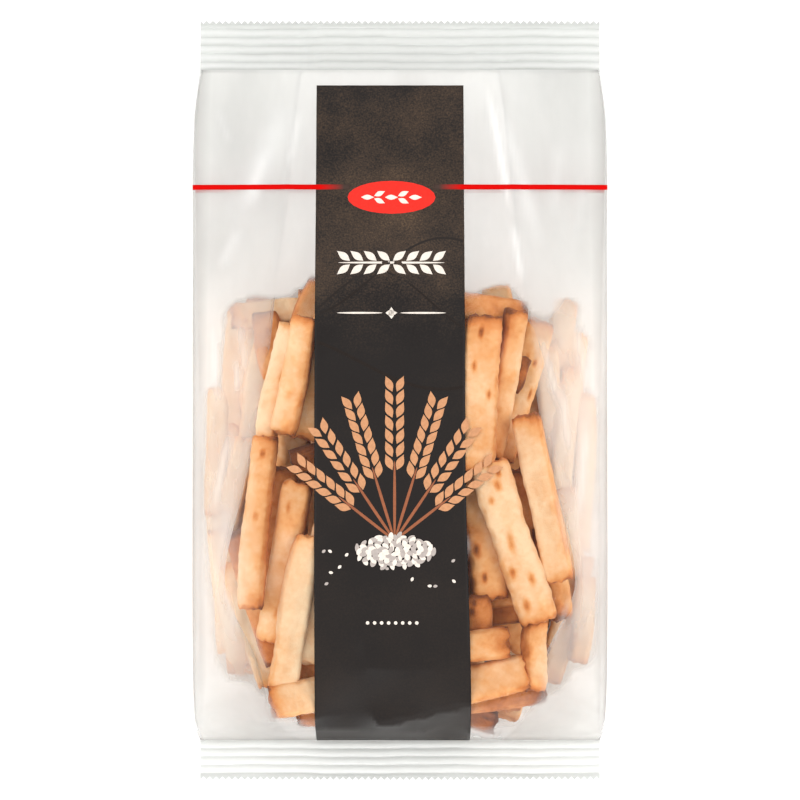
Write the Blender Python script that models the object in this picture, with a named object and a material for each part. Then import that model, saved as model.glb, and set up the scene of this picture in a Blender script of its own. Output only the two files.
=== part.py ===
"""Sealed clear bag of short breadsticks, a side-gusseted pillow lying on its back.

Metres, +Z up. The bag's length runs along Y with its top seal at +Y, its width along X,
and its printed front faces up. The origin is on the table, under the middle of the bag.
The bag and what fills it are one solid: the front film lies over the breadsticks, the side
gussets fold in, and both ends close in flat ribbed seals with zig-zag cut edges.
"""
from bisect import bisect_right
from collections import namedtuple
import math

import bmesh
import bpy
from mathutils import Matrix
import numpy as np

MM = 0.001

# Driving sizes of the bag, in millimetres
BAG_LENGTH = 290.0
SEAL_WIDTH = 152.6
TOP_SEAL_DEPTH = 18.9
BOTTOM_SEAL_DEPTH = 15.1
SEAL_THICKNESS = 0.8
SEAL_TAB = 3.0              # how far a seal's flat tab reaches into the bag
TOP_SEAL_HEIGHT = 15.0      # middle plane of a seal above the table
BOTTOM_SEAL_HEIGHT = 16.0
RIB_PITCH = 3.15            # crimping ribs run across the seal
RIB_RISE = 0.55
TOOTH_PITCH = 2.44          # zig-zag cut of both ends
TOOTH_DEPTH = 1.3
BACK_SEAM_WIDTH = 12.0      # lengthwise seam, pressed flat on the back
BACK_SEAM_STEP = 0.4
BACK_SEAM_FADE = 25.0       # the back is flat again this far from its middle
BACK_FLAT = 60.0            # the back turns up from here to its crease
BACK_TURN_UP = 2.4
CROWN_POWER = 2.4           # how squarely the front crowns between its creases
GUSSET_BULGE = 0.12         # outward curve of the side film, as a share of the fold's depth

# Print on the front: a dark lengthwise band and a thin red line across
BAND_LEFT = -31.6
BAND_RIGHT = 24.6
BAND_TOP = 120.0
LINE_MIDDLE = 80.6
LINE_WIDTH = 1.8

# Mesh: grid steps in millimetres, and faces across each part of a section
STICK_ROW_STEP = 3.2
PLAIN_ROW_STEP = 6.5
LEFT_COLUMNS = 18
BAND_COLUMNS = 9
RIGHT_COLUMNS = 20
GUSSET_FACES = 3            # faces from a crease to the inner fold

HALF_LENGTH = BAG_LENGTH / 2
TOP_EDGE = HALF_LENGTH - TOP_SEAL_DEPTH
BOTTOM_EDGE = -HALF_LENGTH + BOTTOM_SEAL_DEPTH
PILE_TOP = 46.0             # the breadsticks reach this far up the bag
FULL_THICKNESS = 50.0       # of the bag's sides where it is full
END_GAP = 0.8               # half height of the bag's end, round a seal's tab
CREASE_DROP = 0.9           # height of the blunt edge at a front or back crease
STICK_MARGIN = 1.0          # the film's lump is this much wider than the stick, each side
SHOWN_CREASE = 46.0         # where the folded gussets show, at the pile's top
SHOWN_CREASE_LEAN = 0.11    # and how fast they draw in towards the top seal
SHOWN_CREASE_RISE = 0.9
SHOWN_CREASE_HALF_WIDTH = 2.6
RIPPLE_RISE = 0.35

# Sections from the bottom seal to the top one: distance along the bag, half width at the front
# crease, height of the back, height of the front crease, crown of the front over that crease,
# and how deep the side gusset folds in
Station = namedtuple("Station", "y half_width back edge crown fold")
STATIONS = [
    Station(BOTTOM_EDGE, 76.0, BOTTOM_SEAL_HEIGHT - END_GAP, BOTTOM_SEAL_HEIGHT + END_GAP, 0.0, 0.6),
    Station(-126.0, 76.6, 7.0, 30.0, 1.5, 15.0),
    Station(-118.0, 77.0, 1.0, 43.0, 4.5, 24.0),
    Station(-100.0, 77.3, 0.0, 50.0, 7.0, 23.5),
    Station(-68.0, 77.3, 0.0, 53.0, 8.0, 11.0),
    Station(-34.0, 77.3, 0.0, 52.0, 7.6, 18.0),
    Station(-6.0, 77.4, 0.0, 49.5, 7.2, 24.5),
    Station(22.0, 77.7, 0.0, 44.5, 6.6, 28.5),
    Station(45.0, 78.0, 0.4, 38.0, 6.0, 29.5),
    Station(68.0, 78.4, 2.6, 30.0, 4.5, 22.0),
    Station(88.0, 78.7, 6.0, 25.0, 3.0, 15.0),
    Station(107.0, 78.4, 10.2, 20.6, 1.5, 8.0),
    Station(119.0, 77.2, 13.0, 17.4, 0.4, 3.0),
    Station(TOP_EDGE, 76.0, TOP_SEAL_HEIGHT - END_GAP, TOP_SEAL_HEIGHT + END_GAP, 0.0, 0.6),
]

# Breadsticks that press on the front film: both ends of the axis seen from the front,
# the width, and how far the film rises over the stick
Stick = namedtuple("Stick", "xa ya xb yb width rise")
FRONT_STICKS = [
    # left window, from the top down
    Stick(-52, 33, -37, 34, 10, 2.0),
    Stick(-32, 44, -39, 29, 10, 2.2),
    Stick(-36, 30, -45, -22, 11, 4.0),
    Stick(-29, 18, -37, -14, 10, 2.4),
    Stick(-42, -8, -44, -46, 10, 2.2),
    Stick(-51, -15, -56, -77, 12, 4.2),
    Stick(-38, -32, -49, -89, 11, 3.0),
    Stick(-34, -52, -44, -108, 12, 4.2),
    Stick(-29, -58, -35, -99, 12, 3.2),
    Stick(-48, -113, -20, -107, 13, 3.4),
    # under the band
    Stick(-27, 38, -24, -20, 12, 2.2),
    Stick(-9, 42, -18, -14, 12, 2.1),
    Stick(4, 40, 3, -18, 12, 2.2),
    Stick(17, 41, 12, -22, 12, 1.9),
    Stick(-24, -26, -14, -84, 12, 2.2),
    Stick(-4, -24, 2, -82, 12, 2.0),
    Stick(16, -30, 14, -90, 12, 2.2),
    Stick(-18, -92, 14, -108, 12, 2.2),
    # right window, from the top down
    Stick(18, 37, 47, 32, 10, 2.4),
    Stick(31, 30, 28, -25, 14, 3.8),
    Stick(44, 32, 34, -20, 11, 3.0),
    Stick(50, 20, 38, -20, 12, 2.2),
    Stick(47, -7, 59, -68, 12, 4.2),
    Stick(32, -25, 50, -85, 14, 4.4),
    Stick(26, -25, 33, -72, 12, 2.4),
    Stick(29, -73, 29, -88, 10, 2.2),
    Stick(20, -92, 40, -90, 11, 2.8),
    Stick(18, -107, 46, -101, 13, 3.4),
    Stick(51, -84, 50, -107, 11, 3.2),
    Stick(22, -116, 50, -112, 9, 2.2),
]

FILM_COLOUR = (0.86, 0.83, 0.79, 1.0)
BAND_COLOUR = (0.035, 0.028, 0.025, 1.0)
LINE_COLOUR = (0.86, 0.006, 0.005, 1.0)
FILM, BAND, LINE = 0, 1, 2


def clear_scene():
    """Remove the startup objects."""
    for thing in list(bpy.data.objects):
        bpy.data.objects.remove(thing, do_unlink=True)


def new_collection(name):
    """A collection of that name, linked to the scene."""
    collection = bpy.data.collections.new(name)
    bpy.context.scene.collection.children.link(collection)
    return collection


def material(name, colour, roughness):
    """A plain Principled material."""
    made = bpy.data.materials.new(name)
    made.use_nodes = True
    shader = made.node_tree.nodes["Principled BSDF"]
    shader.inputs["Base Color"].default_value = colour
    shader.inputs["Roughness"].default_value = roughness
    shader.inputs["Metallic"].default_value = 0.0
    return made


def along_bag(field, y):
    """A station's field at y, on a smooth curve through the stations that never overshoots."""
    ys = [station.y for station in STATIONS]
    values = [getattr(station, field) for station in STATIONS]
    slopes = [(values[i + 1] - values[i]) / (ys[i + 1] - ys[i]) for i in range(len(ys) - 1)]

    def tangent(i):
        if i == 0 or i == len(ys) - 1:
            return slopes[min(i, len(slopes) - 1)]
        before, after = slopes[i - 1], slopes[i]
        if before * after <= 0:
            return 0.0
        return 2 * before * after / (before + after)

    i = min(max(bisect_right(ys, y) - 1, 0), len(slopes) - 1)
    span = ys[i + 1] - ys[i]
    t = (y - ys[i]) / span
    start = (1 + 2 * t) * (1 - t) ** 2 * values[i] + t * (1 - t) ** 2 * span * tangent(i)
    end = t * t * (3 - 2 * t) * values[i + 1] + t * t * (t - 1) * span * tangent(i + 1)
    return start + end


def fade(value, low, high):
    """0 below low, 1 above high, smooth between."""
    t = min(max((value - low) / (high - low), 0.0), 1.0)
    return t * t * (3 - 2 * t)


def stick_lump(stick, x, y):
    """Rise of the film over one breadstick: a barrel across it, blunt at its ends."""
    dx, dy = stick.xb - stick.xa, stick.yb - stick.ya
    length = math.hypot(dx, dy)
    from_middle_x = x - (stick.xa + stick.xb) / 2
    from_middle_y = y - (stick.ya + stick.yb) / 2
    lengthwise = (from_middle_x * dx + from_middle_y * dy) / length
    sideways = (from_middle_x * dy - from_middle_y * dx) / length
    half_length = length / 2 + STICK_MARGIN
    half_width = stick.width / 2 + STICK_MARGIN
    reach = abs(lengthwise / half_length) ** 8 + (sideways / half_width) ** 2
    return stick.rise * math.sqrt(max(0.0, 1 - reach))


def headspace_creases(x, y):
    """Two long soft creases where the folded gussets show through the empty top of the bag."""
    strength = fade(y, PILE_TOP, PILE_TOP + 25) * (1 - fade(y, TOP_EDGE - 14, TOP_EDGE - 2))
    crease_x = SHOWN_CREASE - SHOWN_CREASE_LEAN * (y - PILE_TOP)
    crease = SHOWN_CREASE_RISE * math.exp(-((abs(x) - crease_x) / SHOWN_CREASE_HALF_WIDTH) ** 2)
    ripple = RIPPLE_RISE * math.sin(x / 6.5 + y / 30)
    return strength * (crease + ripple)


def front_height(x, y, half_width):
    """Height of the front film."""
    across = min(abs(x) / half_width, 1.0)
    height = along_bag("edge", y) + along_bag("crown", y) * (1 - across ** CROWN_POWER)
    lump = max(stick_lump(stick, x, y) for stick in FRONT_STICKS)
    over_stick = 1 - fade(-y, -BOTTOM_EDGE - 12, -BOTTOM_EDGE)
    return height + lump * over_stick + headspace_creases(x, y)


def back_height(x, y):
    """Height of the back film, with its seam strip level with the resting face."""
    fullness = (along_bag("edge", y) - along_bag("back", y)) / FULL_THICKNESS
    rise = BACK_TURN_UP * fullness * fade(abs(x), BACK_FLAT, SEAL_WIDTH / 2)
    seam = BACK_SEAM_WIDTH / 2
    beside_seam = abs(x) > seam + 0.01
    step = BACK_SEAM_STEP * (1 - fade(abs(x), seam, BACK_SEAM_FADE)) if beside_seam else 0.0
    return along_bag("back", y) + rise + step * min(fullness * 4, 1.0)


def front_columns(half_width):
    """X of the front's grid lines, with one on each edge of the band."""
    left = np.linspace(-half_width, BAND_LEFT, LEFT_COLUMNS + 1)
    middle = np.linspace(BAND_LEFT, BAND_RIGHT, BAND_COLUMNS + 1)
    right = np.linspace(BAND_RIGHT, half_width, RIGHT_COLUMNS + 1)
    return [*left, *middle[1:], *right[1:]]


def back_columns(half_width):
    """X of the back's grid lines, from +X to -X, close beside the seam's edges."""
    seam = BACK_SEAM_WIDTH / 2
    side = [half_width, (half_width + BACK_FLAT) / 2, BACK_FLAT, 40.0, BACK_SEAM_FADE, seam + 0.5, seam]
    return [*side, *[-x for x in reversed(side)]]


def gusset_points(y, half_width, side):
    """Side film from the front crease down to the back one: in to the fold, then out again."""
    top = along_bag("edge", y) - CREASE_DROP * 0.5
    bottom = back_height(half_width, y) + CREASE_DROP * 0.5
    if top - bottom < 1.0:
        middle = (top + bottom) / 2
        top, bottom = middle + 0.3, middle - 0.3
    fold_height = (top + bottom) / 2
    fold_x = half_width - along_bag("fold", y)
    bulge = GUSSET_BULGE * along_bag("fold", y)
    points = []
    for start, end in ((top, fold_height), (fold_height, bottom)):
        for step in range(GUSSET_FACES):
            t = step / GUSSET_FACES
            inward = t if start == top else 1 - t
            x = half_width + (fold_x - half_width) * inward + bulge * math.sin(math.pi * inward)
            points.append((side * x, y, start + (end - start) * t))
    points.append((side * half_width, y, bottom))
    return points


def section(y):
    """One closed loop round the bag, anticlockwise seen from the top seal's end."""
    half_width = along_bag("half_width", y)
    front = [(x, y, front_height(x, y, half_width)) for x in front_columns(half_width)]
    right = gusset_points(y, half_width, 1)
    back = [(x, y, back_height(x, y)) for x in back_columns(half_width)]
    left = gusset_points(y, half_width, -1)
    return [*front, *right, *back, *reversed(left)]


def row_positions():
    """Y of the sections, close together over the sticks, with one on each edge of the print."""
    line_low = LINE_MIDDLE - LINE_WIDTH / 2
    line_high = LINE_MIDDLE + LINE_WIDTH / 2
    rows = [BOTTOM_EDGE]
    for end, step in ((PILE_TOP, STICK_ROW_STEP), (line_low, PLAIN_ROW_STEP), (line_high, LINE_WIDTH),
                      (BAND_TOP, PLAIN_ROW_STEP), (TOP_EDGE, PLAIN_ROW_STEP / 2)):
        faces = max(1, round((end - rows[-1]) / step))
        rows.extend(np.linspace(rows[-1], end, faces + 1)[1:])
    return rows


def face_print(column, y):
    """Which print lies on the face right of a front column, at height y up the bag."""
    if abs(y - LINE_MIDDLE) < LINE_WIDTH / 2:
        return LINE
    on_band = LEFT_COLUMNS <= column < LEFT_COLUMNS + BAND_COLUMNS
    return BAND if on_band and y < BAND_TOP else FILM


def make_bag_body(collection, materials):
    """Loft the bag's sections into one closed body."""
    mesh = bpy.data.meshes.new("sealed_bag")
    for made in materials:
        mesh.materials.append(made)
    build = bmesh.new()
    rows = row_positions()
    loops = [[build.verts.new([value * MM for value in point]) for point in section(y)] for y in rows]
    count = len(loops[0])
    for near, far, y_near, y_far in zip(loops, loops[1:], rows, rows[1:]):
        for i in range(count):
            face = build.faces.new((near[i], near[(i + 1) % count], far[(i + 1) % count], far[i]))
            face.material_index = face_print(i, (y_near + y_far) / 2)
            face.smooth = True
    build.faces.new(reversed(loops[0]))
    build.faces.new(loops[-1])
    bmesh.ops.recalc_face_normals(build, faces=build.faces[:])
    build.to_mesh(mesh)
    build.free()
    body = bpy.data.objects.new("sealed_bag", mesh)
    collection.objects.link(body)
    return body


def plate_from_outline(name, outline, half_depth, placing, collection):
    """A flat closed outline, extruded both ways, as a mesh whose caps are welded."""
    curve = bpy.data.curves.new(name, "CURVE")
    curve.dimensions = "2D"
    curve.fill_mode = "BOTH"
    curve.extrude = half_depth * MM
    spline = curve.splines.new("POLY")
    spline.points.add(len(outline) - 1)
    for point, (u, v) in zip(spline.points, outline):
        point.co = (u * MM, v * MM, 0, 1)
    spline.use_cyclic_u = True
    drawn = bpy.data.objects.new(name + "_curve", curve)
    drawn.matrix_world = placing
    collection.objects.link(drawn)
    bpy.context.view_layer.update()
    evaluated = drawn.evaluated_get(bpy.context.evaluated_depsgraph_get())
    mesh = bpy.data.meshes.new_from_object(evaluated)
    build = bmesh.new()
    build.from_mesh(mesh)
    bmesh.ops.remove_doubles(build, verts=build.verts[:], dist=1e-6)
    bmesh.ops.recalc_face_normals(build, faces=build.faces[:])
    build.to_mesh(mesh)
    build.free()
    plate = bpy.data.objects.new(name, mesh)
    plate.matrix_world = drawn.matrix_world.copy()
    collection.objects.link(plate)
    bpy.data.objects.remove(drawn, do_unlink=True)
    return plate


def rib_outline(seal_depth):
    """Side view of a seal: from its tab inside the bag out to its cut end, ribbed on both faces."""
    half = SEAL_THICKNESS / 2
    ribs = int(seal_depth / RIB_PITCH - 0.5)
    first = 1.2
    upper = [(-SEAL_TAB, half), (first, half)]
    for rib in range(ribs):
        start = first + rib * RIB_PITCH
        upper.append((start + RIB_PITCH * 0.3, half + RIB_RISE))
        upper.append((start + RIB_PITCH * 0.6, half + RIB_RISE))
        upper.append((start + RIB_PITCH * 0.9, half))
    upper.append((seal_depth, half))
    lower = [(u, v - SEAL_THICKNESS) for u, v in reversed(upper)]
    return upper + lower


def zigzag_outline(seal_depth):
    """Plan of the waste beyond a seal's cut end: one tooth after another."""
    teeth = round(SEAL_WIDTH / TOOTH_PITCH) + 2
    start = -teeth * TOOTH_PITCH / 2
    points = []
    for tooth in range(teeth):
        points.append((start + tooth * TOOTH_PITCH, seal_depth))
        points.append((start + (tooth + 0.5) * TOOTH_PITCH, seal_depth - TOOTH_DEPTH))
    points.append((start + teeth * TOOTH_PITCH, seal_depth))
    beyond = seal_depth + 4.0
    points.append((start + teeth * TOOTH_PITCH, beyond))
    points.append((start, beyond))
    return points


def make_seal(name, edge, height, depth, direction, collection, cutters, film):
    """One end seal: a ribbed plate across the bag, cut in a zig-zag."""
    # The side view's u runs outward along the bag, its v up, and it is extruded across the bag
    side_view = Matrix(((0, 0, direction, 0), (direction, 0, 0, edge * MM), (0, 1, 0, height * MM),
                        (0, 0, 0, 1)))
    seal = plate_from_outline(name, rib_outline(depth), SEAL_WIDTH / 2, side_view, collection)
    seal.data.materials.append(film)
    turned = Matrix.Rotation(0 if direction > 0 else math.pi, 4, "Z")
    plan = Matrix.Translation((0, edge * MM, height * MM)) @ turned
    cutter = plate_from_outline(name + "_teeth", zigzag_outline(depth), 4.0, plan, cutters)
    cutter.hide_render = True
    cutter.display_type = "WIRE"
    cut = seal.modifiers.new("teeth", "BOOLEAN")
    cut.operation = "DIFFERENCE"
    cut.solver = "EXACT"
    cut.object = cutter
    return seal


def join_pieces(body, pieces):
    """Fuse the body and its pieces into one solid, and remove the pieces."""
    fuse = body.modifiers.new("seals", "BOOLEAN")
    fuse.operation = "UNION"
    fuse.solver = "EXACT"
    fuse.operand_type = "COLLECTION"
    fuse.collection = pieces
    bpy.context.view_layer.update()
    evaluated = body.evaluated_get(bpy.context.evaluated_depsgraph_get())
    fused = bpy.data.meshes.new_from_object(evaluated)
    body.modifiers.clear()
    body.data = fused
    for piece in list(pieces.objects):
        bpy.data.objects.remove(piece, do_unlink=True)
    bpy.data.collections.remove(pieces)


def main():
    clear_scene()
    bag = new_collection("breadstick_bag")
    pieces = new_collection("seals")
    cutters = new_collection("cutters")
    film = material("clear_film", FILM_COLOUR, 0.2)
    band = material("dark_print", BAND_COLOUR, 0.4)
    line = material("red_print", LINE_COLOUR, 0.35)
    body = make_bag_body(bag, [film, band, line])
    make_seal("top_seal", TOP_EDGE, TOP_SEAL_HEIGHT, TOP_SEAL_DEPTH, 1, pieces, cutters, film)
    make_seal("bottom_seal", BOTTOM_EDGE, BOTTOM_SEAL_HEIGHT, BOTTOM_SEAL_DEPTH, -1, pieces, cutters, film)
    join_pieces(body, pieces)
    body.data.set_sharp_from_angle(angle=math.radians(35))


main()
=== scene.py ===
"""A sealed clear bag of short breadsticks, lying on its back: film, print and baked pieces.

Metres, +Z up. Sizes are written in millimetres and turned to metres where a mesh is made.
"""
import math
from collections import namedtuple

import bmesh
import bpy
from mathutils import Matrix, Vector
import numpy as np


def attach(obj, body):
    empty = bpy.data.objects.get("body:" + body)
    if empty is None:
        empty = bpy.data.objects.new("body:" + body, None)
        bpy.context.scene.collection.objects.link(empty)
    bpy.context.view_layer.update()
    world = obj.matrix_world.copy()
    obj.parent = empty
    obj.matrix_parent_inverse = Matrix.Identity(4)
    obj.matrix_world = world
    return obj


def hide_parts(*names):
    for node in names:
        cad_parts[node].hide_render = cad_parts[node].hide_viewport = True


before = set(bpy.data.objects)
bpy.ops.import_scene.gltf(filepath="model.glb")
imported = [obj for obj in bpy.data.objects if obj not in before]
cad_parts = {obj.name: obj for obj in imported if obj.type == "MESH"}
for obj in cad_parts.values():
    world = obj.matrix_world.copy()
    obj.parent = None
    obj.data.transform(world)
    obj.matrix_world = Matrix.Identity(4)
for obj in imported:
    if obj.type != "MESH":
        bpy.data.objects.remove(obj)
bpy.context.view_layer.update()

MM = 0.001

# Driving sizes of the bag, in millimetres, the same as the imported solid's
BAG_LENGTH = 290.0
SEAL_WIDTH = 152.6
TOP_SEAL_DEPTH = 18.9
BOTTOM_SEAL_DEPTH = 15.1
TOP_SEAL_HEIGHT = 15.0
BOTTOM_SEAL_HEIGHT = 16.0
RIB_PITCH = 3.15
TOOTH_PITCH = 2.44
TOOTH_DEPTH = 1.3
RIB_RISE = 0.35
SEAL_THICKNESS = 0.35       # front, back and folded sides, pressed together
BACK_SEAM_WIDTH = 12.0
BAND_LEFT = -31.8
BAND_RIGHT = 24.2
BAND_SPREAD = 2.4           # the band's right edge leans out by this much at the bottom seal
BAND_TOP = 120.0
LINE_MIDDLE = 80.6
LINE_WIDTH = 1.9
TOP_EDGE = BAG_LENGTH / 2 - TOP_SEAL_DEPTH
BOTTOM_EDGE = -BAG_LENGTH / 2 + BOTTOM_SEAL_DEPTH
PILE_TOP = 46.0

# Sections of the film tube: distance along the bag, half width at the front crease, height of
# the back, height of the front crease, crown of the front over it, depth of the side fold
Station = namedtuple("Station", "y half_width back edge crown fold")
STATIONS = [
    Station(BOTTOM_EDGE, 76.2, 15.9, 16.1, 0.0, 38.5),
    Station(-126.0, 76.6, 7.0, 30.0, 1.5, 33.0),
    Station(-118.0, 77.0, 1.0, 43.0, 4.5, 28.0),
    Station(-100.0, 77.3, 0.0, 50.0, 7.0, 23.5),
    Station(-68.0, 77.3, 0.0, 53.0, 8.0, 11.0),
    Station(-34.0, 77.3, 0.0, 52.0, 7.6, 18.0),
    Station(-6.0, 77.4, 0.0, 49.5, 7.2, 24.5),
    Station(22.0, 77.7, 0.0, 44.5, 6.6, 28.5),
    Station(45.0, 78.0, 0.4, 38.0, 6.0, 31.0),
    Station(68.0, 78.4, 2.6, 30.0, 4.5, 34.5),
    Station(88.0, 78.7, 6.0, 25.0, 3.0, 37.0),
    Station(107.0, 78.4, 10.2, 20.6, 1.5, 38.5),
    Station(119.0, 77.2, 13.0, 17.4, 0.4, 38.8),
    Station(TOP_EDGE, 76.2, 14.9, 15.1, 0.0, 39.0),
]

# Breadsticks seen through the front, deepest first: both ends of the axis in the plan, width,
# thickness, roll about the axis in degrees, how well baked, how deep under the film, and brown
# spots, each with its place in the plan, length and width
Stick = namedtuple("Stick", "xa ya xb yb width thick roll bake depth spots", defaults=((),))
Lying = namedtuple("Lying", "stick height slope seen")
SEEN_STICKS = [
    # behind the side folds, left then right
    Stick(-61.7, 35, -64.3, -17, 9, 7, 0, 0.18, 24),
    Stick(-54.7, 39, -56.5, -8, 9, 7, 10, 0.13, 20),
    Stick(-51, 21, -60, -26, 10, 7, 0, 0.08, 24),
    Stick(-66, -9, -62, -62, 9, 7, 0, 0.13, 32),
    Stick(-59, -15, -68.5, -62, 9, 7, 0, 0.13, 26),
    Stick(-71, -37, -66, -96, 8, 7, 0, 0.05, 40),
    Stick(-69, -50, -60.6, -100, 10, 7, -8, 0.07, 36),
    Stick(-63.6, -62, -49.5, -108, 10, 7, 5, 0.10, 34),
    Stick(-70, 4, -71, -44, 8, 7, 0, 0.13, 40),
    Stick(64, 38, 52, -8, 10, 7, 0, 0.13, 22),
    Stick(67.8, 25, 62, -26, 9, 7, 0, 0.08, 28),
    Stick(56, 21, 59.5, -34, 9, 7, 0, 0.08, 20),
    Stick(66, 12, 61, -40, 8, 7, 0, 0.08, 30),
    Stick(71, 2, 69, -58, 8, 7, 0, 0.08, 38),
    Stick(63, -34, 69, -80, 9, 7, 0, 0.13, 36),
    Stick(70, -60, 57.5, -108, 10, 7, 0, 0.18, 34),
    Stick(71, -68, 68, -100, 8, 7, 0, 0.13, 40),
    # deep in the clear window, left
    Stick(-36, 34, -64, 32, 10, 8, 0, 0.18, 14),
    Stick(-30, 45, -50, -8, 10, 8, 10, 0.34, 13),
    Stick(-38, 10, -44, -46, 13, 8, 0, 0.32, 9),
    Stick(-44, -26, -50, -78, 12, 8, 0, 0.55, 14),
    Stick(-62, -50, -46, -98, 10, 8, 0, 0.60, 15),
    Stick(-40, -107, -8, -86, 10, 8, 0, 0.60, 12),
    Stick(-38, -119, 10, -120, 8, 7, 0, 0.50, 8),
    Stick(-24, 44, -36, -14, 12, 8, 0, 0.26, 6),
    Stick(-29, -20, -40, -23, 9, 8, 20, 0.75, 8),
    # deep in the clear window, mostly on the right
    Stick(42, 0, 45, -48, 12, 8, 0, 0.50, 13),
    Stick(45, -26, 52, -82, 12, 8, 0, 0.50, 12),
    Stick(33, -80, 54, -98, 11, 8, 0, 0.50, 13),
    Stick(-52, 34, -46, 8, 11, 8, 0, 0.45, 15),
    Stick(53, 30, 37, -22, 12, 8, 8, 0.32, 10, ((49, 2, 5, 1.2), (51, 14, 3, 1.5))),
    Stick(46, 16, 41, 4, 8, 8, 0, 0.70, 11),
    Stick(54, -48, 61, -83, 9, 8, 15, 0.40, 10),
    Stick(30, -81, 54, -79, 8, 8, 0, 0.70, 12),
    Stick(30, -74, 52, -72, 9, 8, 0, 0.45, 10),
    Stick(26, -22, 34, -74, 13, 8, 8, 0.34, 9, ((28.7, -56, 5.5, 3.0), (31.5, -66, 4.0, 2.0))),
    Stick(-15, -106, 36, -122, 9, 7, 0, 0.60, 10),
    Stick(0, -117, 54, -109, 9, 7, 0, 0.60, 8),
    Stick(28, -73, 30, -89, 10, 9, 0, 0.60, 6),
    # under the band
    Stick(-16, 44, -20, -16, 12, 8, 0, 0.40, 3),
    Stick(-3, 42, -6, -18, 12, 8, 0, 0.40, 3),
    Stick(10, 40, 8, -20, 12, 8, 0, 0.40, 3),
    Stick(22, 30, 18, -26, 12, 8, 0, 0.40, 3),
    Stick(-24, -26, -16, -84, 12, 8, 0, 0.40, 3),
    Stick(-8, -24, -2, -82, 12, 8, 0, 0.40, 3),
    Stick(12, -30, 12, -90, 12, 8, 0, 0.40, 3),
    # next to the film, left
    Stick(-41.5, 28, -50, -15, 8, 7, -18, 0.05, 3.5),
    Stick(-35.5, 30.5, -43.5, -12, 10, 7, -14, 0.26, 1.5),
    Stick(-38, -31, -49, -90, 11, 8, -10, 0.36, 3),
    Stick(-26, -45, -35, -98, 12, 8, 0, 0.02, 2),
    Stick(-50, -14, -55.5, -77, 9.8, 7.5, -13, 0.22, 0.6,
          ((-51, -20, 3, 1.5), (-53.5, -43, 4, 1.2))),
    Stick(-33.5, -51, -44, -108.5, 11.5, 8, 8, 0.06, 0.6),
    Stick(-48, -113, 6, -103, 13, 8, 0, 0.22, 1.5),
    # next to the film, right
    Stick(-6, 41, 47, 32, 11, 8, 0, 0.40, 3),
    Stick(43.5, 33, 34, -21, 9, 7, 26, 0.35, 2.5),
    Stick(32, 31, 28, -26, 14, 7, 4, 0.30, 1.2,
          ((30.2, 25, 4.6, 2.0), (27.6, 12.8, 4.0, 1.8), (33, 2, 4.0, 1.6))),
    Stick(-12, -94, 40, -90, 12, 8, 0, 0.35, 3),
    Stick(-8, -114, 47, -101, 14, 8, 5, 0.26, 1.2),
    Stick(50.5, -83, 50, -108, 9, 7, 26, 0.28, 2),
    Stick(46.8, -6, 59.2, -67, 11, 8, -10, 0.12, 0.6),
    Stick(33.2, -24, 51.6, -82, 14.6, 7, 3, 0.08, 0.4,
          ((36.2, -31.7, 4.6, 2.6), (33.9, -37.3, 3.2, 2.2), (41.0, -52.9, 7.4, 2.6),
           (41.8, -64.1, 4.0, 2.6), (48.8, -66.3, 5.0, 2.6), (46.9, -76.2, 5.0, 2.8),
           (36.4, -27.0, 3.4, 2.0))),
]

# Whole breadsticks that only fill the bag, then broken ones: their sizes, where their middles
# fall, how many are tried, and how many places are compared for each
FILL_LENGTH = (52.0, 63.0)
FILL_WIDTH = (10.5, 13.0)
FILL_THICK = (7.0, 8.5)
FILL_ROLL = (-12, 12)
FILL_BAKE = (0.05, 0.4)
FILL_X = (-72, 72)
FILL_Y = (-122, 44)
FILL_ROUNDS = 420
SCRAP_ROUNDS = 260
SCRAP_LENGTH = (20.0, 42.0)
FILL_CHOICES = 4
CROSSWISE_SHARE = 0.15      # of the sticks lie any way round, the others nearly lengthwise
FILL_REACH = 71             # their ends stay this near the bag's middle
CORNER_Y = -98              # below this the heap narrows towards the bottom seal
CORNER_SLOPE = 1.28         # by this share of the way below it, on both sides

# How breadsticks rest on each other and press on the film
MAX_LEAN = 0.45             # steepest slope that a stick may rest at
PRESS = 3.0                 # the front sticks press the film up by this much
SECTION_POWER = 4.0         # how squarely a stick's section is rounded
END_REACH = 1.8             # how far from its ends a stick narrows, tears and browns
NESTING = 0.9               # sticks lie a little into each other's hollows
TABLE_GAP = 0.9             # film and air under the lowest filling sticks
SEEN_TABLE_GAP = 1.0        # the same under the sticks that are seen
STACK_ROUNDS = 150
STACK_PLACES = (-0.9, 0.0, 0.9)     # places along a stick's half axis that are kept in bounds
STACK_PULL = 0.03           # how strongly each round draws a stick to its wanted depth
SHARED_CELLS = 12           # two sticks that share fewer cells of the map only touch
FILL_SQUEEZE = 1.5          # a filling stick may press this far into those over it
FLAT_WIDTH = 12             # sticks at least this wide get the finest mesh
DEEP = 9                    # sticks this deep under the front film don't touch it

# The film's grid: rows this far apart, and columns left of the band, under it, right of it and
# across each half of a side fold
ROW_STEP = 1.28
LEFT_COLUMNS = 36
BAND_COLUMNS = 44
RIGHT_COLUMNS = 40
FOLD_CELLS = 16
FILM_GAP = 0.35             # the front film's height over the sticks it lies on
DRAPE_ROUNDS = 220
DRAPE_PRESSURE = 0.004      # how much the air in the bag lifts the film in each round
OVER_FOLD_SLACK = 0.36      # how slack the film is over the side folds
FULL_HEIGHT = 50.0          # the bag counts as full where it is this deep

# Printed layers over the film, and where the red line stops on the band
PRINT_LIFT = 0.06
INK = 0.03
LINE_STOP_LEFT = -20.0
LINE_STOP_RIGHT = 14.0

# The height map that the breadsticks are laid on: its cells, half its width and its ends
CELL = 1.0
HALF_MAP = 82.0
MAP_LOW = -132.0
MAP_HIGH = 62.0
NOTHING = -1e3              # the height of an empty cell

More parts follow.
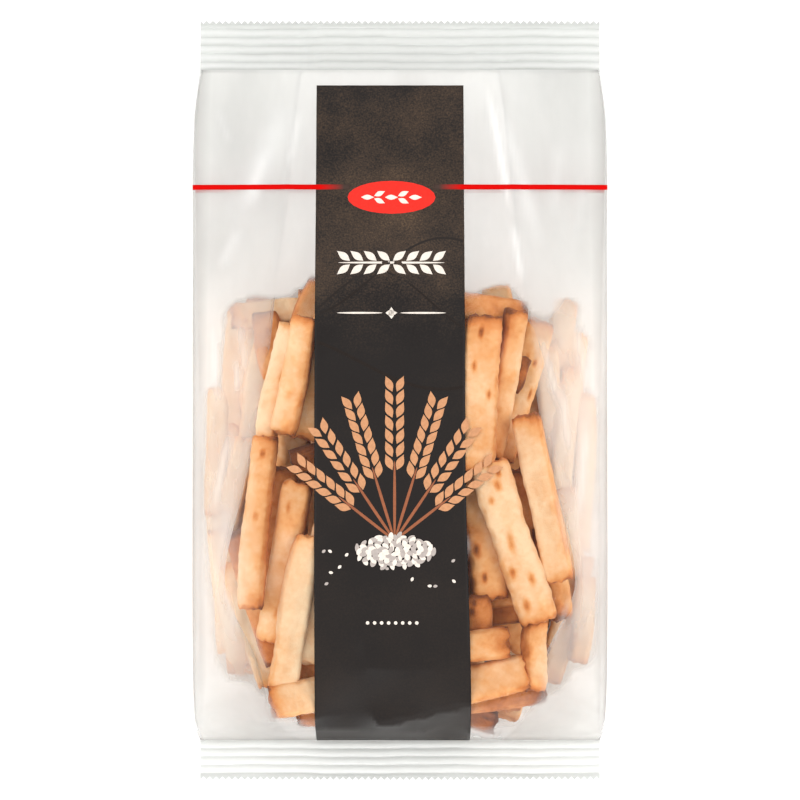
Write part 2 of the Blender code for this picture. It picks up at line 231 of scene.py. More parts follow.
# Soft creases that whiten the slack film, partly as painted highlights and glints, and in
# the last two rows broad milky patches: both ends in the plan, half width and strength
Crease = namedtuple("Crease", "xa ya xb yb half strength")
CREASES_AND_GLINTS = [
    Crease(-41, 116, -65, 62, 5.5, 0.20),
    Crease(-50, 98, -58, 70, 2.5, 0.20),
    Crease(-60, 66, -68, 48, 2.2, 0.22),
    Crease(-70, 112, -64, 96, 1.6, 0.14),
    Crease(-38, 112, -43, 84, 1.3, 0.16),
    Crease(33, 122, 42.5, 68, 1.3, 0.42),
    Crease(42.5, 68, 46, 42, 1.3, 0.34),
    Crease(37, 116, 54, 54, 2.6, 0.20),
    Crease(62, 104, 57, 66, 2.4, 0.12),
    Crease(70, 88, 66, 56, 1.8, 0.12),
    Crease(-62, 17, -60, 1, 0.8, 0.30),
    Crease(-61, 33, -57, 6, 1.3, 0.16),
    Crease(60, 8, 63, -22, 1.2, 0.22),
    Crease(57, -30, 63, -62, 1.2, 0.20),
    Crease(-66, -66, -60, -88, 1.3, 0.22),
    Crease(66, 30, 70, 2, 1.0, 0.24),
    Crease(70, -4, 66, -50, 1.2, 0.22),
    Crease(52, 26, 60, -4, 1.1, 0.26),
    Crease(-70, 30, -68, -6, 1.2, 0.20),
    Crease(-63, -8, -70, -44, 1.2, 0.24),
    Crease(64, -70, 55, -98, 1.2, 0.26),
    Crease(-57, -80, -49, -104, 1.3, 0.22),
    Crease(-67, -28, -60, -100, 6.0, 0.20),
    Crease(70, 24, 70, -100, 5.0, 0.16),
]

# Printed shapes in the plan; each leaf of the badge has its place from the badge's middle, its
# length and its turn in degrees
ART_X = -3.2
BADGE_Y = 76.6
BADGE_LEAVES = [(-9, 0, 5, 0), (-4.5, 1.4, 4.5, 24), (-4.5, -1.4, 4.5, -24), (0, 0, 5, 0),
                (4.5, 1.4, 4.5, 24), (4.5, -1.4, 4.5, -24), (9, 0, 5, 0)]
BADGE_SIZE = (33.2, 12.6)
SPRIG_Y = 51.5
SPRIG_SIZE = (40.0, 0.8)
SPRIG_LEAF = (6.2, 2.8)
RULE_Y = 32.5
RULE_SIZE = (17.0, 0.7)
STAR_SIZE = (4.5, 2.4)
DOTS_Y = -82.5
DOT_SIZE = 1.3
DOT_SPACING = 2.6
EARS_FOOT = (-2, -52)
EAR_LEANS = (-52, -34, -17, 0, 17, 34, 52)
EAR_REACH = 58              # from the ears' foot to the tip of the upright one
HUSK_SIZE = (6.4, 3.0)
HUSK_SPACING = 4.8
HUSK_OFF = 2.1              # how far from the ear's middle line
HUSK_TURN = 24              # how far each husk leans out from it
STALK_SIZE = (30.0, 1.1)
HEAP_MIDDLE = (-2, -56)
HEAP_SIZE = (29.0, 12.0)
HEAP_GRAINS = 90
LOOSE_GRAINS = 16
GOLDEN_TURN = 2.4           # from one grain of the heap to the next, in radians

# Thin dark curves across the band: height, swing, pitch, phase and width
CURVES = [(46.0, 15.0, 17.0, 0.6, 0.8), (36.0, 12.0, 13.0, 2.2, 0.7),
          (14.0, 10.0, 19.0, 3.9, 1.2)]
CURVE_ENDS = (-31.2, 23.6)
CURVE_STEPS = 56

# The crust's patterns: cycles a millimetre, detail and roughness of blotches 9 mm wide, of
# mottling 2 mm wide and of crumb half a millimetre wide
CRUST_PATTERNS = [(0.11, 3.0, 0.5), (0.45, 4.0, 0.5), (2.2, 3.0, 0.6)]
WRINKLES = 90.0             # cycles a metre, so 11 mm wide

# Colours from palest to brownest crust, and of film from place to place
DOUGH_COLOURS = [(0.0, "#eed0aa"), (0.2, "#e9be92"), (0.42, "#e0a369"), (0.62, "#cf8346"),
                 (0.8, "#ae6430"), (1.0, "#764020")]
# painted light: the clear film's haze whitest in the middle of the empty top, against the band's
# shadow there, and greyer at its outer parts
CLEAR_WHITES_PAINTED_LIGHT = [(0.0, "#f8f8f6"), (0.5, "#eeeeec"), (1.0, "#e4e4e2")]
# side film colour: greyer towards the bottom seal, and painted shade greying it in the empty top
SIDE_WHITES_PAINTED_SHADE = [(0.0, "#c4c2bf"), (0.14, "#d8d5d1"), (0.32, "#efebe5"), (0.78, "#efebe5"),
               (0.9, "#d3d3d2"), (1.0, "#d3d3d2")]
# painted shade in the rib valleys, painted highlight on the crests, and painted light on the
# bottom seal
SEAL_WHITES_PAINTED_LIGHT = [(0.0, "#c4c6c3"), (0.5, "#dddedc"), (1.0, "#ebecea")]
# painted shade: where the film turns away at the bag's sides its haze colour is greyed
EDGE_SHADE_RANGE = (72 * MM, 77 * MM)     # where the film turns away at the bag's sides
SLATE_COLOURS = [(0.2, "#191514"), (0.4, "#221f1e"), (0.6, "#40342b"), (0.85, "#6a553f")]
BAND_SWEEPS = [(25, 60, 0.13), (72, 92, -0.06), (-50, -110, 0.02)]   # from, to and gain
INKS = {"red_ink": "#d62a20", "cream_ink": "#d9cfc4", "grey_ink": "#a69c96",
        "tan_ink": "#b98560", "dark_ink": "#221c19", "brown_ink": "#8c543a"}

# Camera over the bag, as the photograph: 0.382 mm a pixel at the seals
CAMERA_HEIGHT = 1500.0
PICTURE_SIDE = 800
FRAME_WIDTH = PICTURE_SIDE * 0.382
SENSOR = 36.0
SEAL_VIEW_HEIGHT = 15.5     # the seals lie this high over the table

# Soft studio lights, in metres and watts: place, size and power, and the even light all round
LIGHTS = [("left light", (-1.3, 0.2, 1.1), (1.2, 1.6), 16),
          ("right light", (1.3, 0.3, 1.0), (1.0, 1.6), 17),
          ("far light", (0.0, 1.5, 0.9), (1.8, 0.9), 7),
          ("near light", (0.0, -1.6, 0.8), (1.8, 0.9), 17)]
SURROUND = 0.92


def station_curve(field):
    """A smooth curve through one field of the stations, which never overshoots them."""
    ys = np.array([station.y for station in STATIONS])
    values = np.array([getattr(station, field) for station in STATIONS])
    spans = np.diff(ys)
    slopes = np.diff(values) / spans
    before, after = slopes[:-1], slopes[1:]
    same_way = before * after > 0
    total = np.where(same_way, before + after, 1.0)
    middle = np.where(same_way, 2 * before * after / total, 0.0)
    tangents = np.concatenate([slopes[:1], middle, slopes[-1:]])

    def at(y):
        """The curve's value at some distances along the bag."""
        y = np.clip(np.asarray(y, float), ys[0], ys[-1])
        i = np.clip(np.searchsorted(ys, y, side="right") - 1, 0, len(spans) - 1)
        t = (y - ys[i]) / spans[i]
        start = (1 + 2 * t) * (1 - t) ** 2 * values[i] + t * (1 - t) ** 2 * spans[i] * tangents[i]
        end = t * t * (3 - 2 * t) * values[i + 1] + t * t * (t - 1) * spans[i] * tangents[i + 1]
        return start + end

    return at


half_width_at = station_curve("half_width")
back_at = station_curve("back")
edge_at = station_curve("edge")
crown_at = station_curve("crown")
fold_at = station_curve("fold")


def fullness_at(y):
    """How full the bag is along its length: about 1 where it is deepest."""
    return (edge_at(y) - back_at(y)) / FULL_HEIGHT


def fold_line_at(y):
    """How far the inner folds of the sides lie from the bag's middle."""
    return half_width_at(y) - fold_at(y)


def fade(value, low, high):
    """0 below low, 1 above high, smooth between."""
    t = np.clip((np.asarray(value, float) - low) / (high - low), 0.0, 1.0)
    return t * t * (3 - 2 * t)


def waves(seed, x, y, size, count=6):
    """Smooth made-up unevenness between about -1 and 1, with features of the given size."""
    draw = np.random.default_rng(seed)
    total = 0.0
    for _ in range(count):
        angle = draw.uniform(0, math.pi)
        turn = 2 * math.pi / (size * draw.uniform(0.7, 1.6))
        phase = draw.uniform(0, 2 * math.pi)
        total = total + np.sin((x * math.cos(angle) + y * math.sin(angle)) * turn + phase)
    return total / math.sqrt(count * 1.5)


def front_plain(x, y):
    """Height of the front film as it would lie with nothing pressing on it."""
    across = np.clip(np.abs(x) / half_width_at(y), 0, 1)
    return edge_at(y) + crown_at(y) * (1 - across ** 2.4)


def back_plain(x, y):
    """Height of the back film, turned up a little along its creases."""
    return back_at(y) + 2.4 * fullness_at(y) * fade(np.abs(x), 60.0, SEAL_WIDTH / 2)


def fold_height(y):
    """Height of a gusset's inner fold: a little over the middle, as the sticks sink low."""
    return back_at(y) + 0.54 * (edge_at(y) - back_at(y))


def under_gusset(x, y):
    """Height of the lower half of the side film, over the breadsticks that lie behind it."""
    depth = fold_at(y)
    inward = np.clip((half_width_at(y) - np.abs(x)) / depth, 0, 1)
    low = back_at(y) + 2.0
    bulge = 5.0 * np.clip(fullness_at(y), 0, 1)
    return low + (fold_height(y) - low) * inward + bulge * np.sin(math.pi * inward ** 0.7)


def over_gusset(x, y):
    """Height of the upper half of the side film, which the front film lies over."""
    inward = (half_width_at(y) - np.abs(x)) / fold_at(y)
    start = edge_at(y)
    hump = np.sin(math.pi * np.clip(inward, 0, 1)) * np.clip(fullness_at(y), 0, 1)
    height = start + (fold_height(y) - start) * inward - 1.5 * hump
    return np.where(inward < 1, height, NOTHING)


class Room:
    """The free room in the bag on a square grid seen from above: its floor and its ceiling."""

    def __init__(self):
        self.xs = np.arange(-HALF_MAP, HALF_MAP + CELL / 2, CELL)
        self.ys = np.arange(MAP_LOW, MAP_HIGH + CELL / 2, CELL)
        self.x, self.y = np.meshgrid(self.xs, self.ys)
        self.floor = back_plain(self.x, self.y) + TABLE_GAP
        inside = np.abs(self.x) < fold_line_at(self.y) - 1.0
        self.ceiling = np.where(inside, front_plain(self.x, self.y) + PRESS,
                                under_gusset(self.x, self.y) - 0.5)

    def cells(self, stick, margin=0.0):
        """Indices of the cells under a stick, and their places along and across it."""
        dx, dy = stick.xb - stick.xa, stick.yb - stick.ya
        length = math.hypot(dx, dy)
        along_x, along_y = dx / length, dy / length
        middle_x, middle_y = (stick.xa + stick.xb) / 2, (stick.ya + stick.yb) / 2
        reach = length / 2 + stick.width / 2 + 2
        rows = np.where(np.abs(self.ys - middle_y) < reach)[0]
        columns = np.where(np.abs(self.xs - middle_x) < reach)[0]
        row, column = np.meshgrid(rows, columns, indexing="ij")
        from_x = self.xs[column] - middle_x
        from_y = self.ys[row] - middle_y
        along = from_x * along_x + from_y * along_y
        across = from_x * along_y - from_y * along_x
        near = (np.abs(along) < length / 2 + margin) & (np.abs(across) < stick.width / 2 + margin)
        return row[near], column[near], along[near], across[near]


def section_heights(stick, across):
    """Heights of a stick's underside and top over its axis, at places across it."""
    turn = np.linspace(0, 2 * math.pi, 160, endpoint=False)
    cosine, sine = np.cos(turn), np.sin(turn)
    power = 2 / SECTION_POWER
    u = stick.width / 2 * np.sign(cosine) * np.abs(cosine) ** power
    v = stick.thick / 2 * np.sign(sine) * np.abs(sine) ** power
    lean = math.radians(stick.roll)
    side = u * math.cos(lean) - v * math.sin(lean)
    height = u * math.sin(lean) + v * math.cos(lean)
    edges = [side.argmin(), side.argmax()]
    upper = height >= np.interp(side, side[edges], height[edges])
    found = []
    for half in (~upper, upper):
        order = np.argsort(side[half])
        found.append(np.interp(across, side[half][order], height[half][order]))
    return found


def resting_line(along, need):
    """Height at the middle and slope of the lowest straight line over all needs along a stick."""
    places = np.round(along / 2.0).astype(int)
    low = places.min()
    highest = np.full(places.max() - low + 1, NOTHING)
    np.maximum.at(highest, places - low, need)
    s = (np.arange(len(highest)) + low) * 2.0
    keep = highest > NOTHING
    s, highest = s[keep], highest[keep]
    left, right = s < 0, s >= 0
    run = s[right][None, :] - s[left][:, None]
    slopes = (highest[right][None, :] - highest[left][:, None]) / run
    crossings = highest[left][:, None] - slopes * s[left][:, None]
    best = np.unravel_index(crossings.argmax(), crossings.shape)
    height, slope = float(crossings[best]), float(slopes[best])
    if abs(slope) > MAX_LEAN:
        slope = math.copysign(MAX_LEAN, slope)
        height = float(np.max(highest - slope * s))
    return height, slope


def lay_down(room, stick):
    """Where a dropped stick comes to rest on the floor, the cells under it and its top there."""
    row, column, along, across = room.cells(stick)
    bottom, top = section_heights(stick, across)
    height, slope = resting_line(along, room.floor[row, column] - bottom)
    return height, slope, row, column, height + slope * along + top


def find_crossings(room):
    """Places where one seen stick lies over another, as the two sticks' numbers, how far along
    each half axis the place is, and the gap that their middles need there."""
    spans = []
    for stick in SEEN_STICKS:
        row, column, along, _ = room.cells(stick, -0.8)
        spans.append((row * len(room.xs) + column, along / (stick_length(stick) / 2)))
    found = []
    for upper in range(len(SEEN_STICKS)):
        for lower in range(upper):
            _, i, j = np.intersect1d(spans[upper][0], spans[lower][0], return_indices=True)
            if len(i) < SHARED_CELLS:
                continue
            high, low = spans[upper][1][i], spans[lower][1][j]
            need = NESTING * (SEEN_STICKS[upper].thick + SEEN_STICKS[lower].thick) / 2
            order = np.argsort(high)
            part = max(1, len(order) // 5)
            for some in (order[:part], order[-part:]):
                found.append((upper, lower, high[some].mean(), low[some].mean(), need))
    return found


def stick_length(stick):
    """A stick's length in the plan."""
    return math.hypot(stick.xb - stick.xa, stick.yb - stick.ya)


def stick_place(stick, s):
    """The point of a stick's axis in the plan, s from -1 at its first end to 1."""
    share = (1 + s) / 2
    return stick.xa + (stick.xb - stick.xa) * share, stick.ya + (stick.yb - stick.ya) * share


def push(lie, number, s, move):
    """Move a stick up or down at one place, as a free rod gives way there."""
    share = move / (1 + 3 * s * s)
    lie[number, 0] += share
    lie[number, 1] += 3 * s * share


def depth_limits():
    """Lowest, highest and wanted heights of the seen sticks' axes at some places along them:
    clear of the table, under the film or the side fold, and as deep as each stick asks."""
    limits = np.zeros((3, len(SEEN_STICKS), len(STACK_PLACES)))
    for number, stick in enumerate(SEEN_STICKS):
        for k, s in enumerate(STACK_PLACES):
            x, y = stick_place(stick, s)
            pressed = float(front_plain(x, y)) + PRESS
            top = pressed
            if stick.depth >= DEEP and abs(x) + stick.width / 3 > fold_line_at(y):
                top = float(under_gusset(abs(x) + stick.width / 4, y))
            half = stick.thick / 2
            limits[0, number, k] = float(back_plain(x, y)) + half + SEEN_TABLE_GAP
            limits[1, number, k] = top - half
            limits[2, number, k] = pressed - stick.depth - half
    ground, roof, wanted = limits
    return ground, roof, np.clip(wanted, ground, roof)


def stack_seen(room):
    """Heights of the middles and rises of the half axes of the seen sticks: they lie as near
    under the film as their depths ask, each over those before it, clear of film and table."""
    ground, roof, wanted = depth_limits()
    span = STACK_PLACES[-1] - STACK_PLACES[0]
    lie = np.stack([wanted.mean(axis=1), (wanted[:, -1] - wanted[:, 0]) / span], axis=1)
    steepest = np.array([MAX_LEAN * stick_length(stick) / 2 for stick in SEEN_STICKS])
    crossings = find_crossings(room)
    for _ in range(STACK_ROUNDS):
        for number in range(len(SEEN_STICKS)):
            for k, s in enumerate(STACK_PLACES):
                height = lie[number, 0] + lie[number, 1] * s
                push(lie, number, s, STACK_PULL * (wanted[number, k] - height))
        for upper, lower, high, low, need in crossings:
            gap = lie[upper, 0] + lie[upper, 1] * high - lie[lower, 0] - lie[lower, 1] * low
            if gap < need:
                push(lie, upper, high, (need - gap) / 2)
                push(lie, lower, low, (gap - need) / 2)
        for number in range(len(SEEN_STICKS)):
            for k, s in enumerate(STACK_PLACES):
                height = lie[number, 0] + lie[number, 1] * s
                inside = min(max(height, ground[number, k]), roof[number, k])
                push(lie, number, s, inside - height)
        lie[:, 1] = np.clip(lie[:, 1], -steepest, steepest)
    return lie


def random_stick(draw, lengths):
    """A breadstick somewhere in the bag, mostly lengthwise, as they settle."""
    length = draw.uniform(*lengths)
    crosswise = draw.random() < CROSSWISE_SHARE
    turn = draw.uniform(0, math.pi) if crosswise else math.pi / 2 + draw.normal(0, 0.3)
    x = draw.uniform(*FILL_X)
    y = draw.uniform(*FILL_Y)
    half_x, half_y = math.cos(turn) * length / 2, math.sin(turn) * length / 2
    return Stick(x - half_x, y - half_y, x + half_x, y + half_y, draw.uniform(*FILL_WIDTH),
                 draw.uniform(*FILL_THICK), draw.uniform(*FILL_ROLL), draw.uniform(*FILL_BAKE), 0)


def in_bag(stick):
    """Whether both ends of a stick lie inside the heap's outline."""
    for x, y in ((stick.xa, stick.ya), (stick.xb, stick.yb)):
        reach = FILL_REACH - CORNER_SLOPE * max(0.0, CORNER_Y - y)
        if not (BOTTOM_EDGE + 7 < y < PILE_TOP - 2 and abs(x) < reach):
            return False
    return True


def best_resting(room, draw, lengths):
    """The lowest lying of a few random sticks that fit in the room: the stick, its height and
    slope, the cells under it and its top there; nothing where none fits."""
    best = None
    for _ in range(FILL_CHOICES):
        stick = random_stick(draw, lengths)
        if not in_bag(stick):
            continue
        height, slope, row, column, upper = lay_down(room, stick)
        if np.any(upper > room.ceiling[row, column] + FILL_SQUEEZE):
            continue
        if best is None or height < best[1]:
            best = (stick, height, slope, row, column, upper)
    return best


def lay_breadsticks():
    """All the breadsticks in the bag: first those that show through the front, then those
    that fill the room under them."""
    room = Room()
    placed = []
    for stick, (height, rise) in zip(SEEN_STICKS, stack_seen(room)):
        slope = rise / (stick_length(stick) / 2)
        row, column, along, across = room.cells(stick)
        bottom, _ = section_heights(stick, across)
        line = height + slope * along
        room.ceiling[row, column] = np.minimum(room.ceiling[row, column], line + bottom)
        placed.append(Lying(stick, height, slope, True))
    draw = np.random.default_rng(7)
    for lengths in [FILL_LENGTH] * FILL_ROUNDS + [SCRAP_LENGTH] * SCRAP_ROUNDS:
        best = best_resting(room, draw, lengths)
        if best is None:
            continue
        stick, height, slope, row, column, upper = best
        room.floor[row, column] = np.maximum(room.floor[row, column], upper)
        placed.append(Lying(stick, height, slope, False))
    return room, placed


def deselect():
    """Nothing selected."""
    bpy.ops.object.select_all(action="DESELECT")


def choose(*pieces):
    """These pieces alone selected, the first of them active."""
    deselect()
    for piece in pieces:
        piece.select_set(True)
    bpy.context.view_layer.objects.active = pieces[0]


def read_points(mesh):
    """A mesh's points as rows of x, y, z."""
    flat = np.empty(len(mesh.vertices) * 3, np.float64)
    mesh.vertices.foreach_get("co", flat)
    return flat.reshape(-1, 3)


def write_points(mesh, points):
    """Move a mesh's points to places given in millimetres."""
    mesh.vertices.foreach_set("co", (np.asarray(points, float) * MM).ravel())
    mesh.update()


def write_values(piece, name, values):
    """Give a piece's points an attribute that its material reads."""
    attribute = piece.data.attributes.new(name, "FLOAT", "POINT")
    attribute.data.foreach_set("value", np.asarray(values, np.float32))


def grid_piece(name, points):
    """A grid whose points lie at points[row, column], in millimetres."""
    rows, columns = points.shape[0] - 1, points.shape[1] - 1
    deselect()
    bpy.ops.mesh.primitive_grid_add(x_subdivisions=columns, y_subdivisions=rows, size=2.0)
    piece = bpy.context.object
    piece.name = name
    flat = read_points(piece.data)
    column = np.rint((flat[:, 0] + 1) / 2 * columns).astype(int)
    row = np.rint((flat[:, 1] + 1) / 2 * rows).astype(int)
    write_points(piece.data, points[row, column])
    return piece


def join(name, pieces):
    """Join pieces into one."""
    choose(*pieces)
    if len(pieces) > 1:
        bpy.ops.object.join()
    piece = bpy.context.object
    piece.name = name
    return piece


def merge_points(piece, distance=0.01):
    """Close seams and turn all faces outward."""
    choose(piece)
    bpy.ops.object.mode_set(mode="EDIT")
    bpy.ops.mesh.select_all(action="SELECT")
    bpy.ops.mesh.remove_doubles(threshold=distance * MM)
    bpy.ops.mesh.normals_make_consistent(inside=False)
    bpy.ops.object.mode_set(mode="OBJECT")


def thicken(piece, thickness, offset=0.0):
    """Give a sheet its thickness."""
    choose(piece)
    solid = piece.modifiers.new("thickness", "SOLIDIFY")
    solid.thickness = thickness * MM
    solid.offset = offset
    bpy.ops.object.modifier_apply(modifier=solid.name)


def smooth(piece, angle=180.0):
    """Smooth shading, sharp only over the angle."""
    choose(piece)
    if angle >= 180:
        bpy.ops.object.shade_smooth()
    else:
        bpy.ops.object.shade_smooth_by_angle(angle=math.radians(angle))


def finish(piece, name, angle=180.0):
    """Smooth a piece and give it its one material."""
    smooth(piece, angle)
    piece.data.materials.clear()
    piece.data.materials.append(material(name))
    return piece


def film_rows():
    """Distances along the bag of the film's rows, some of them along the edges of the printed
    line and the band's end."""
    marks = [BOTTOM_EDGE, LINE_MIDDLE - LINE_WIDTH / 2, LINE_MIDDLE + LINE_WIDTH / 2, BAND_TOP,
             TOP_EDGE]
    parts = []
    for start, end in zip(marks[:-1], marks[1:]):
        steps = max(2, round((end - start) / ROW_STEP))
        parts.append(np.linspace(start, end, steps, endpoint=False))
    return np.concatenate(parts + [[TOP_EDGE]])


def band_right(y):
    """The band's right edge, which leans out a little towards the bottom."""
    return BAND_RIGHT + BAND_SPREAD * fade(-np.asarray(y, float), 10.0, -BOTTOM_EDGE)


def film_columns(ys):
    """Places across the bag of the film's columns in each row, with columns along the band."""
    rows = []
    for y in ys:
        side = float(half_width_at(y))
        right = float(band_right(y))
        rows.append(np.concatenate([
            np.linspace(-side, BAND_LEFT, LEFT_COLUMNS, endpoint=False),
            np.linspace(BAND_LEFT, right, BAND_COLUMNS, endpoint=False),
            np.linspace(right, side, RIGHT_COLUMNS + 1)]))
    return np.array(rows)


def headspace(x, y):
    """Long soft creases and ripples in the empty top of the bag."""
    strength = fade(y, PILE_TOP - 8, PILE_TOP + 25) * (1 - fade(y, TOP_EDGE - 30, TOP_EDGE - 4))
    strength = strength * fade(half_width_at(y) - np.abs(x), 0.0, 16.0)
    crease = 1.3 * np.exp(-((np.abs(x) - fold_line_at(y)) / 2.2) ** 2)
    ripple = 0.45 * np.sin(x / 5.2 + y / 26 + 1.2 * np.sin(y / 31))
    swell = 0.7 * waves(3, x, y * 0.45, 26)
    return strength * (crease + ripple + swell)


def seal_pleats(x, y):
    """Short pleats where the full film gathers into the seals."""
    near_top = np.exp(-(TOP_EDGE - y) / 9.0) * fade(TOP_EDGE - y, 0, 2)
    near_bottom = np.exp(-(y - BOTTOM_EDGE) / 7.0) * fade(y - BOTTOM_EDGE, 0, 2)
    rise = 1 + np.sin(x / 1.9 + 2.0 * np.sin(x / 17))
    return 0.3 * (near_top + near_bottom) * rise * fade(half_width_at(y) - np.abs(x), 0.0, 5.0)


def creases_and_glints_at(x, y):
    """How strongly the film is whitened at some places by its creases, partly as painted
    highlights.
    """
    total = np.zeros(np.shape(x))
    for crease in CREASES_AND_GLINTS:
        run_x, run_y = crease.xb - crease.xa, crease.yb - crease.ya
        length = math.hypot(run_x, run_y)
        along = ((x - crease.xa) * run_x + (y - crease.ya) * run_y) / length
        off = ((x - crease.xa) * run_y - (y - crease.ya) * run_x) / length
        ends = fade(along, 0, 0.35 * length) * (1 - fade(along, 0.65 * length, length))
        total += crease.strength * ends * np.exp(-(off / crease.half) ** 2)
    return total


def soften(grid, reach):
    """A map averaged over a square of cells, twice."""
    for _ in range(2):
        for axis in (0, 1):
            grid = sum(np.roll(grid, step, axis) for step in range(-reach, reach + 1))
            grid = grid / (2 * reach + 1)
    return grid


class Film:
    """The film's surfaces as grids of points: front, back and the four side panels."""

    def __init__(self, room, under_front, under_sides, footprint):
        self.ys = film_rows()
        self.x = film_columns(self.ys)
        self.y = np.repeat(self.ys[:, None], self.x.shape[1], axis=1)
        self.room = room
        self.under_sides = under_sides
        self.covered = soften(footprint, 2)
        self.front = self.draped(under_front)

    def above(self, tops, x, y):
        """Height of what lies under each of some places, as seen from above."""
        column = np.clip(np.rint((x - self.room.xs[0]) / CELL).astype(int), 0,
                         len(self.room.xs) - 1)
        row = np.rint((y - self.room.ys[0]) / CELL).astype(int)
        outside = (row < 0) | (row >= len(self.room.ys))
        row = np.clip(row, 0, len(self.room.ys) - 1)
        return np.where(outside, NOTHING, tops[row, column])

    def draped(self, tops):
        """Height of the front film, drawn taut over the sticks under it."""
        under = self.above(tops, self.x, self.y) + FILM_GAP
        height = front_plain(self.x, self.y)
        height = height + headspace(self.x, self.y) + seal_pleats(self.x, self.y)
        edge = edge_at(self.ys)
        height[:, 0] = height[:, -1] = edge
        height[0] = edge[0]
        height[-1] = edge[-1]
        inward = (half_width_at(self.y) - np.abs(self.x)) / 4.0
        panel = over_gusset(self.x, self.y) + 0.7 * np.clip(inward, 0, 1)
        under = np.maximum(under, panel)
        rest = np.maximum(height, panel)
        for _ in range(DRAPE_ROUNDS):
            mean = (height[1:-1, :-2] + height[1:-1, 2:] + height[:-2, 1:-1]
                    + height[2:, 1:-1]) / 4
            height[1:-1, 1:-1] = np.maximum(mean + DRAPE_PRESSURE, under[1:-1, 1:-1])
        calm = fade(self.y, PILE_TOP + 1, PILE_TOP + 32)
        return calm * rest + (1 - calm) * height

    def slack_at(self, x, y):
        """How slack the film is: most where no breadstick lies under it, less over the side
        folds, and taut over the sticks between them."""
        covered = self.above(self.covered, x, y)
        free = 1 - fade(np.where(covered == NOTHING, 0.0, covered), 0.45, 0.95)
        over_fold = OVER_FOLD_SLACK * fade(np.abs(x) - fold_line_at(y), -0.5, 2.0)
        return over_fold + (1 - over_fold) * free

    def front_points(self, lift=0.0):
        """Points of the front, or a little over it."""
        return np.stack([self.x, self.y, self.front + lift], axis=2)

    def back_points(self, lift=0.0):
        """Points of the back, or a little under it."""
        return np.stack([self.x, self.y, back_plain(self.x, self.y) - lift], axis=2)

    def over_sides(self, x, y, z, share, highest):
        """Heights of a lower side panel where breadsticks lift it, eased round them."""
        over = self.above(self.under_sides, x, y) + FILM_GAP
        free = (share > 0.02) * (share < 0.9)
        z = np.maximum(z, np.minimum(over, highest) * free)
        for _ in range(3):
            z[1:-1, 1:-1] = np.maximum(z[1:-1, 1:-1], (z[:-2, 1:-1] + z[2:, 1:-1]
                                       + z[1:-1, :-2] + z[1:-1, 2:]) / 4)
        return z

    def side_points(self, side, upper, lift=0.0):
        """Points of a side panel, from its crease to the inner fold."""
        share = np.linspace(0, 1, FOLD_CELLS + 1)[None, :]
        ys = self.ys[:, None]
        y = np.repeat(ys, FOLD_CELLS + 1, axis=1)
        half, depth, fold = half_width_at(ys), fold_at(ys), fold_height(ys)
        hump = np.sin(math.pi * share) * np.clip(fullness_at(ys), 0, 1)
        wave = (0.5 * waves(11 + upper, y, share * 30, 22) - 0.3 * upper) * hump
        if upper:
            x = side * (half - depth * share)
            inside = half - depth * np.minimum(share, 0.9999)
            return np.stack([x, y, over_gusset(inside, ys) - lift + wave], axis=2)
        start = back_plain(half, ys)
        x = side * (half - depth * share + 2.5 * hump)
        z = start + (fold - start) * share + (3.0 * hump + lift) + wave
        z = self.over_sides(x, y, z, share, 0.9 * fold + 0.1 * start)
        return np.stack([x, y, z], axis=2)

    def height_at(self, x, y):
        """Height of the front film at places, between its grid points."""
        row = np.interp(y, self.ys, np.arange(len(self.ys)))
        low = np.clip(row.astype(int), 0, len(self.ys) - 2)
        share = row - low

        def in_row(index):
            """Heights across the grid's rows of some numbers."""
            found = np.empty(x.shape)
            for k in np.unique(index):
                these = index == k
                found[these] = np.interp(x[these], self.x[k], self.front[k])
            return found

        return in_row(low) * (1 - share) + in_row(low + 1) * share


def make_bag_film(film):
    """The film's tube: front, back and gusseted sides, one closed skin."""
    panels = [grid_piece("front", film.front_points()), grid_piece("back", film.back_points())]
    for side in (-1, 1):
        for upper in (False, True):
            panels.append(grid_piece("side", film.side_points(side, upper)))
    for piece, kind in zip(panels, (0, 1, 2, 2, 2, 2)):
        for name in ("clear_film", "shaded_back_film", "side_film"):
            piece.data.materials.append(material(name))
        piece.data.polygons.foreach_set("material_index", [kind] * len(piece.data.polygons))
    body = join("bag_film", panels)
    merge_points(body)
    smooth(body)
    x, y, _ = read_points(body.data).T / MM
    from_fold = np.abs(x) - fold_line_at(y)
    write_values(body, "slack", film.slack_at(x, y))
    # creases and glints that whiten the film's haze, partly painted highlights
    write_values(body, "crease", creases_and_glints_at(x, y))
    # the inner fold line, whitened partly as a painted highlight
    write_values(body, "fold_line", np.exp(-(from_fold / 1.3) ** 2) * fade(y, 0, 40))
    return body


def rib_wave(x, into):
    """Height of the crimped ribs between -1 in the valleys and 1 on the crests."""
    wavy = 0.16 * np.sin(x / 11.0) + 0.07 * np.sin(x / 3.1 + 1.0)
    return 2 * np.abs(np.sin((into + wavy) / RIB_PITCH * math.pi)) - 1


def seal_plate(name, start_y, end_y, height):
    """A crimped seal: ribs across it, its free end cut in a zig-zag."""
    columns = 2 * round(SEAL_WIDTH / TOOTH_PITCH)
    depth = abs(end_y - start_y)
    way = math.copysign(1.0, end_y - start_y)
    steps = round((depth - TOOTH_DEPTH) / RIB_PITCH * 8)
    into = np.concatenate([np.linspace(-1.0, depth - TOOTH_DEPTH, steps + 1), [depth]])
    x = np.linspace(-SEAL_WIDTH / 2, SEAL_WIDTH / 2, columns + 1)
    x, into = np.meshgrid(x, into)
    into[-1, 1::2] -= TOOTH_DEPTH * 0.97
    ribs = RIB_RISE * rib_wave(x, into) * fade(into, -1.0, 1.0)
    warp = 0.5 * np.sin(x / 21.0 + 1.0) * fade(into, 2.0, depth)
    points = np.stack([x, start_y + way * into, height + ribs + warp], axis=2)
    if way < 0:
        points = points[::-1]
    plate = grid_piece(name, points)
    thicken(plate, SEAL_THICKNESS)
    x, y, _ = read_points(plate.data).T / MM
    write_values(plate, "rib", rib_wave(x, way * (y - start_y)))
    return finish(plate, "seal_film", 40)


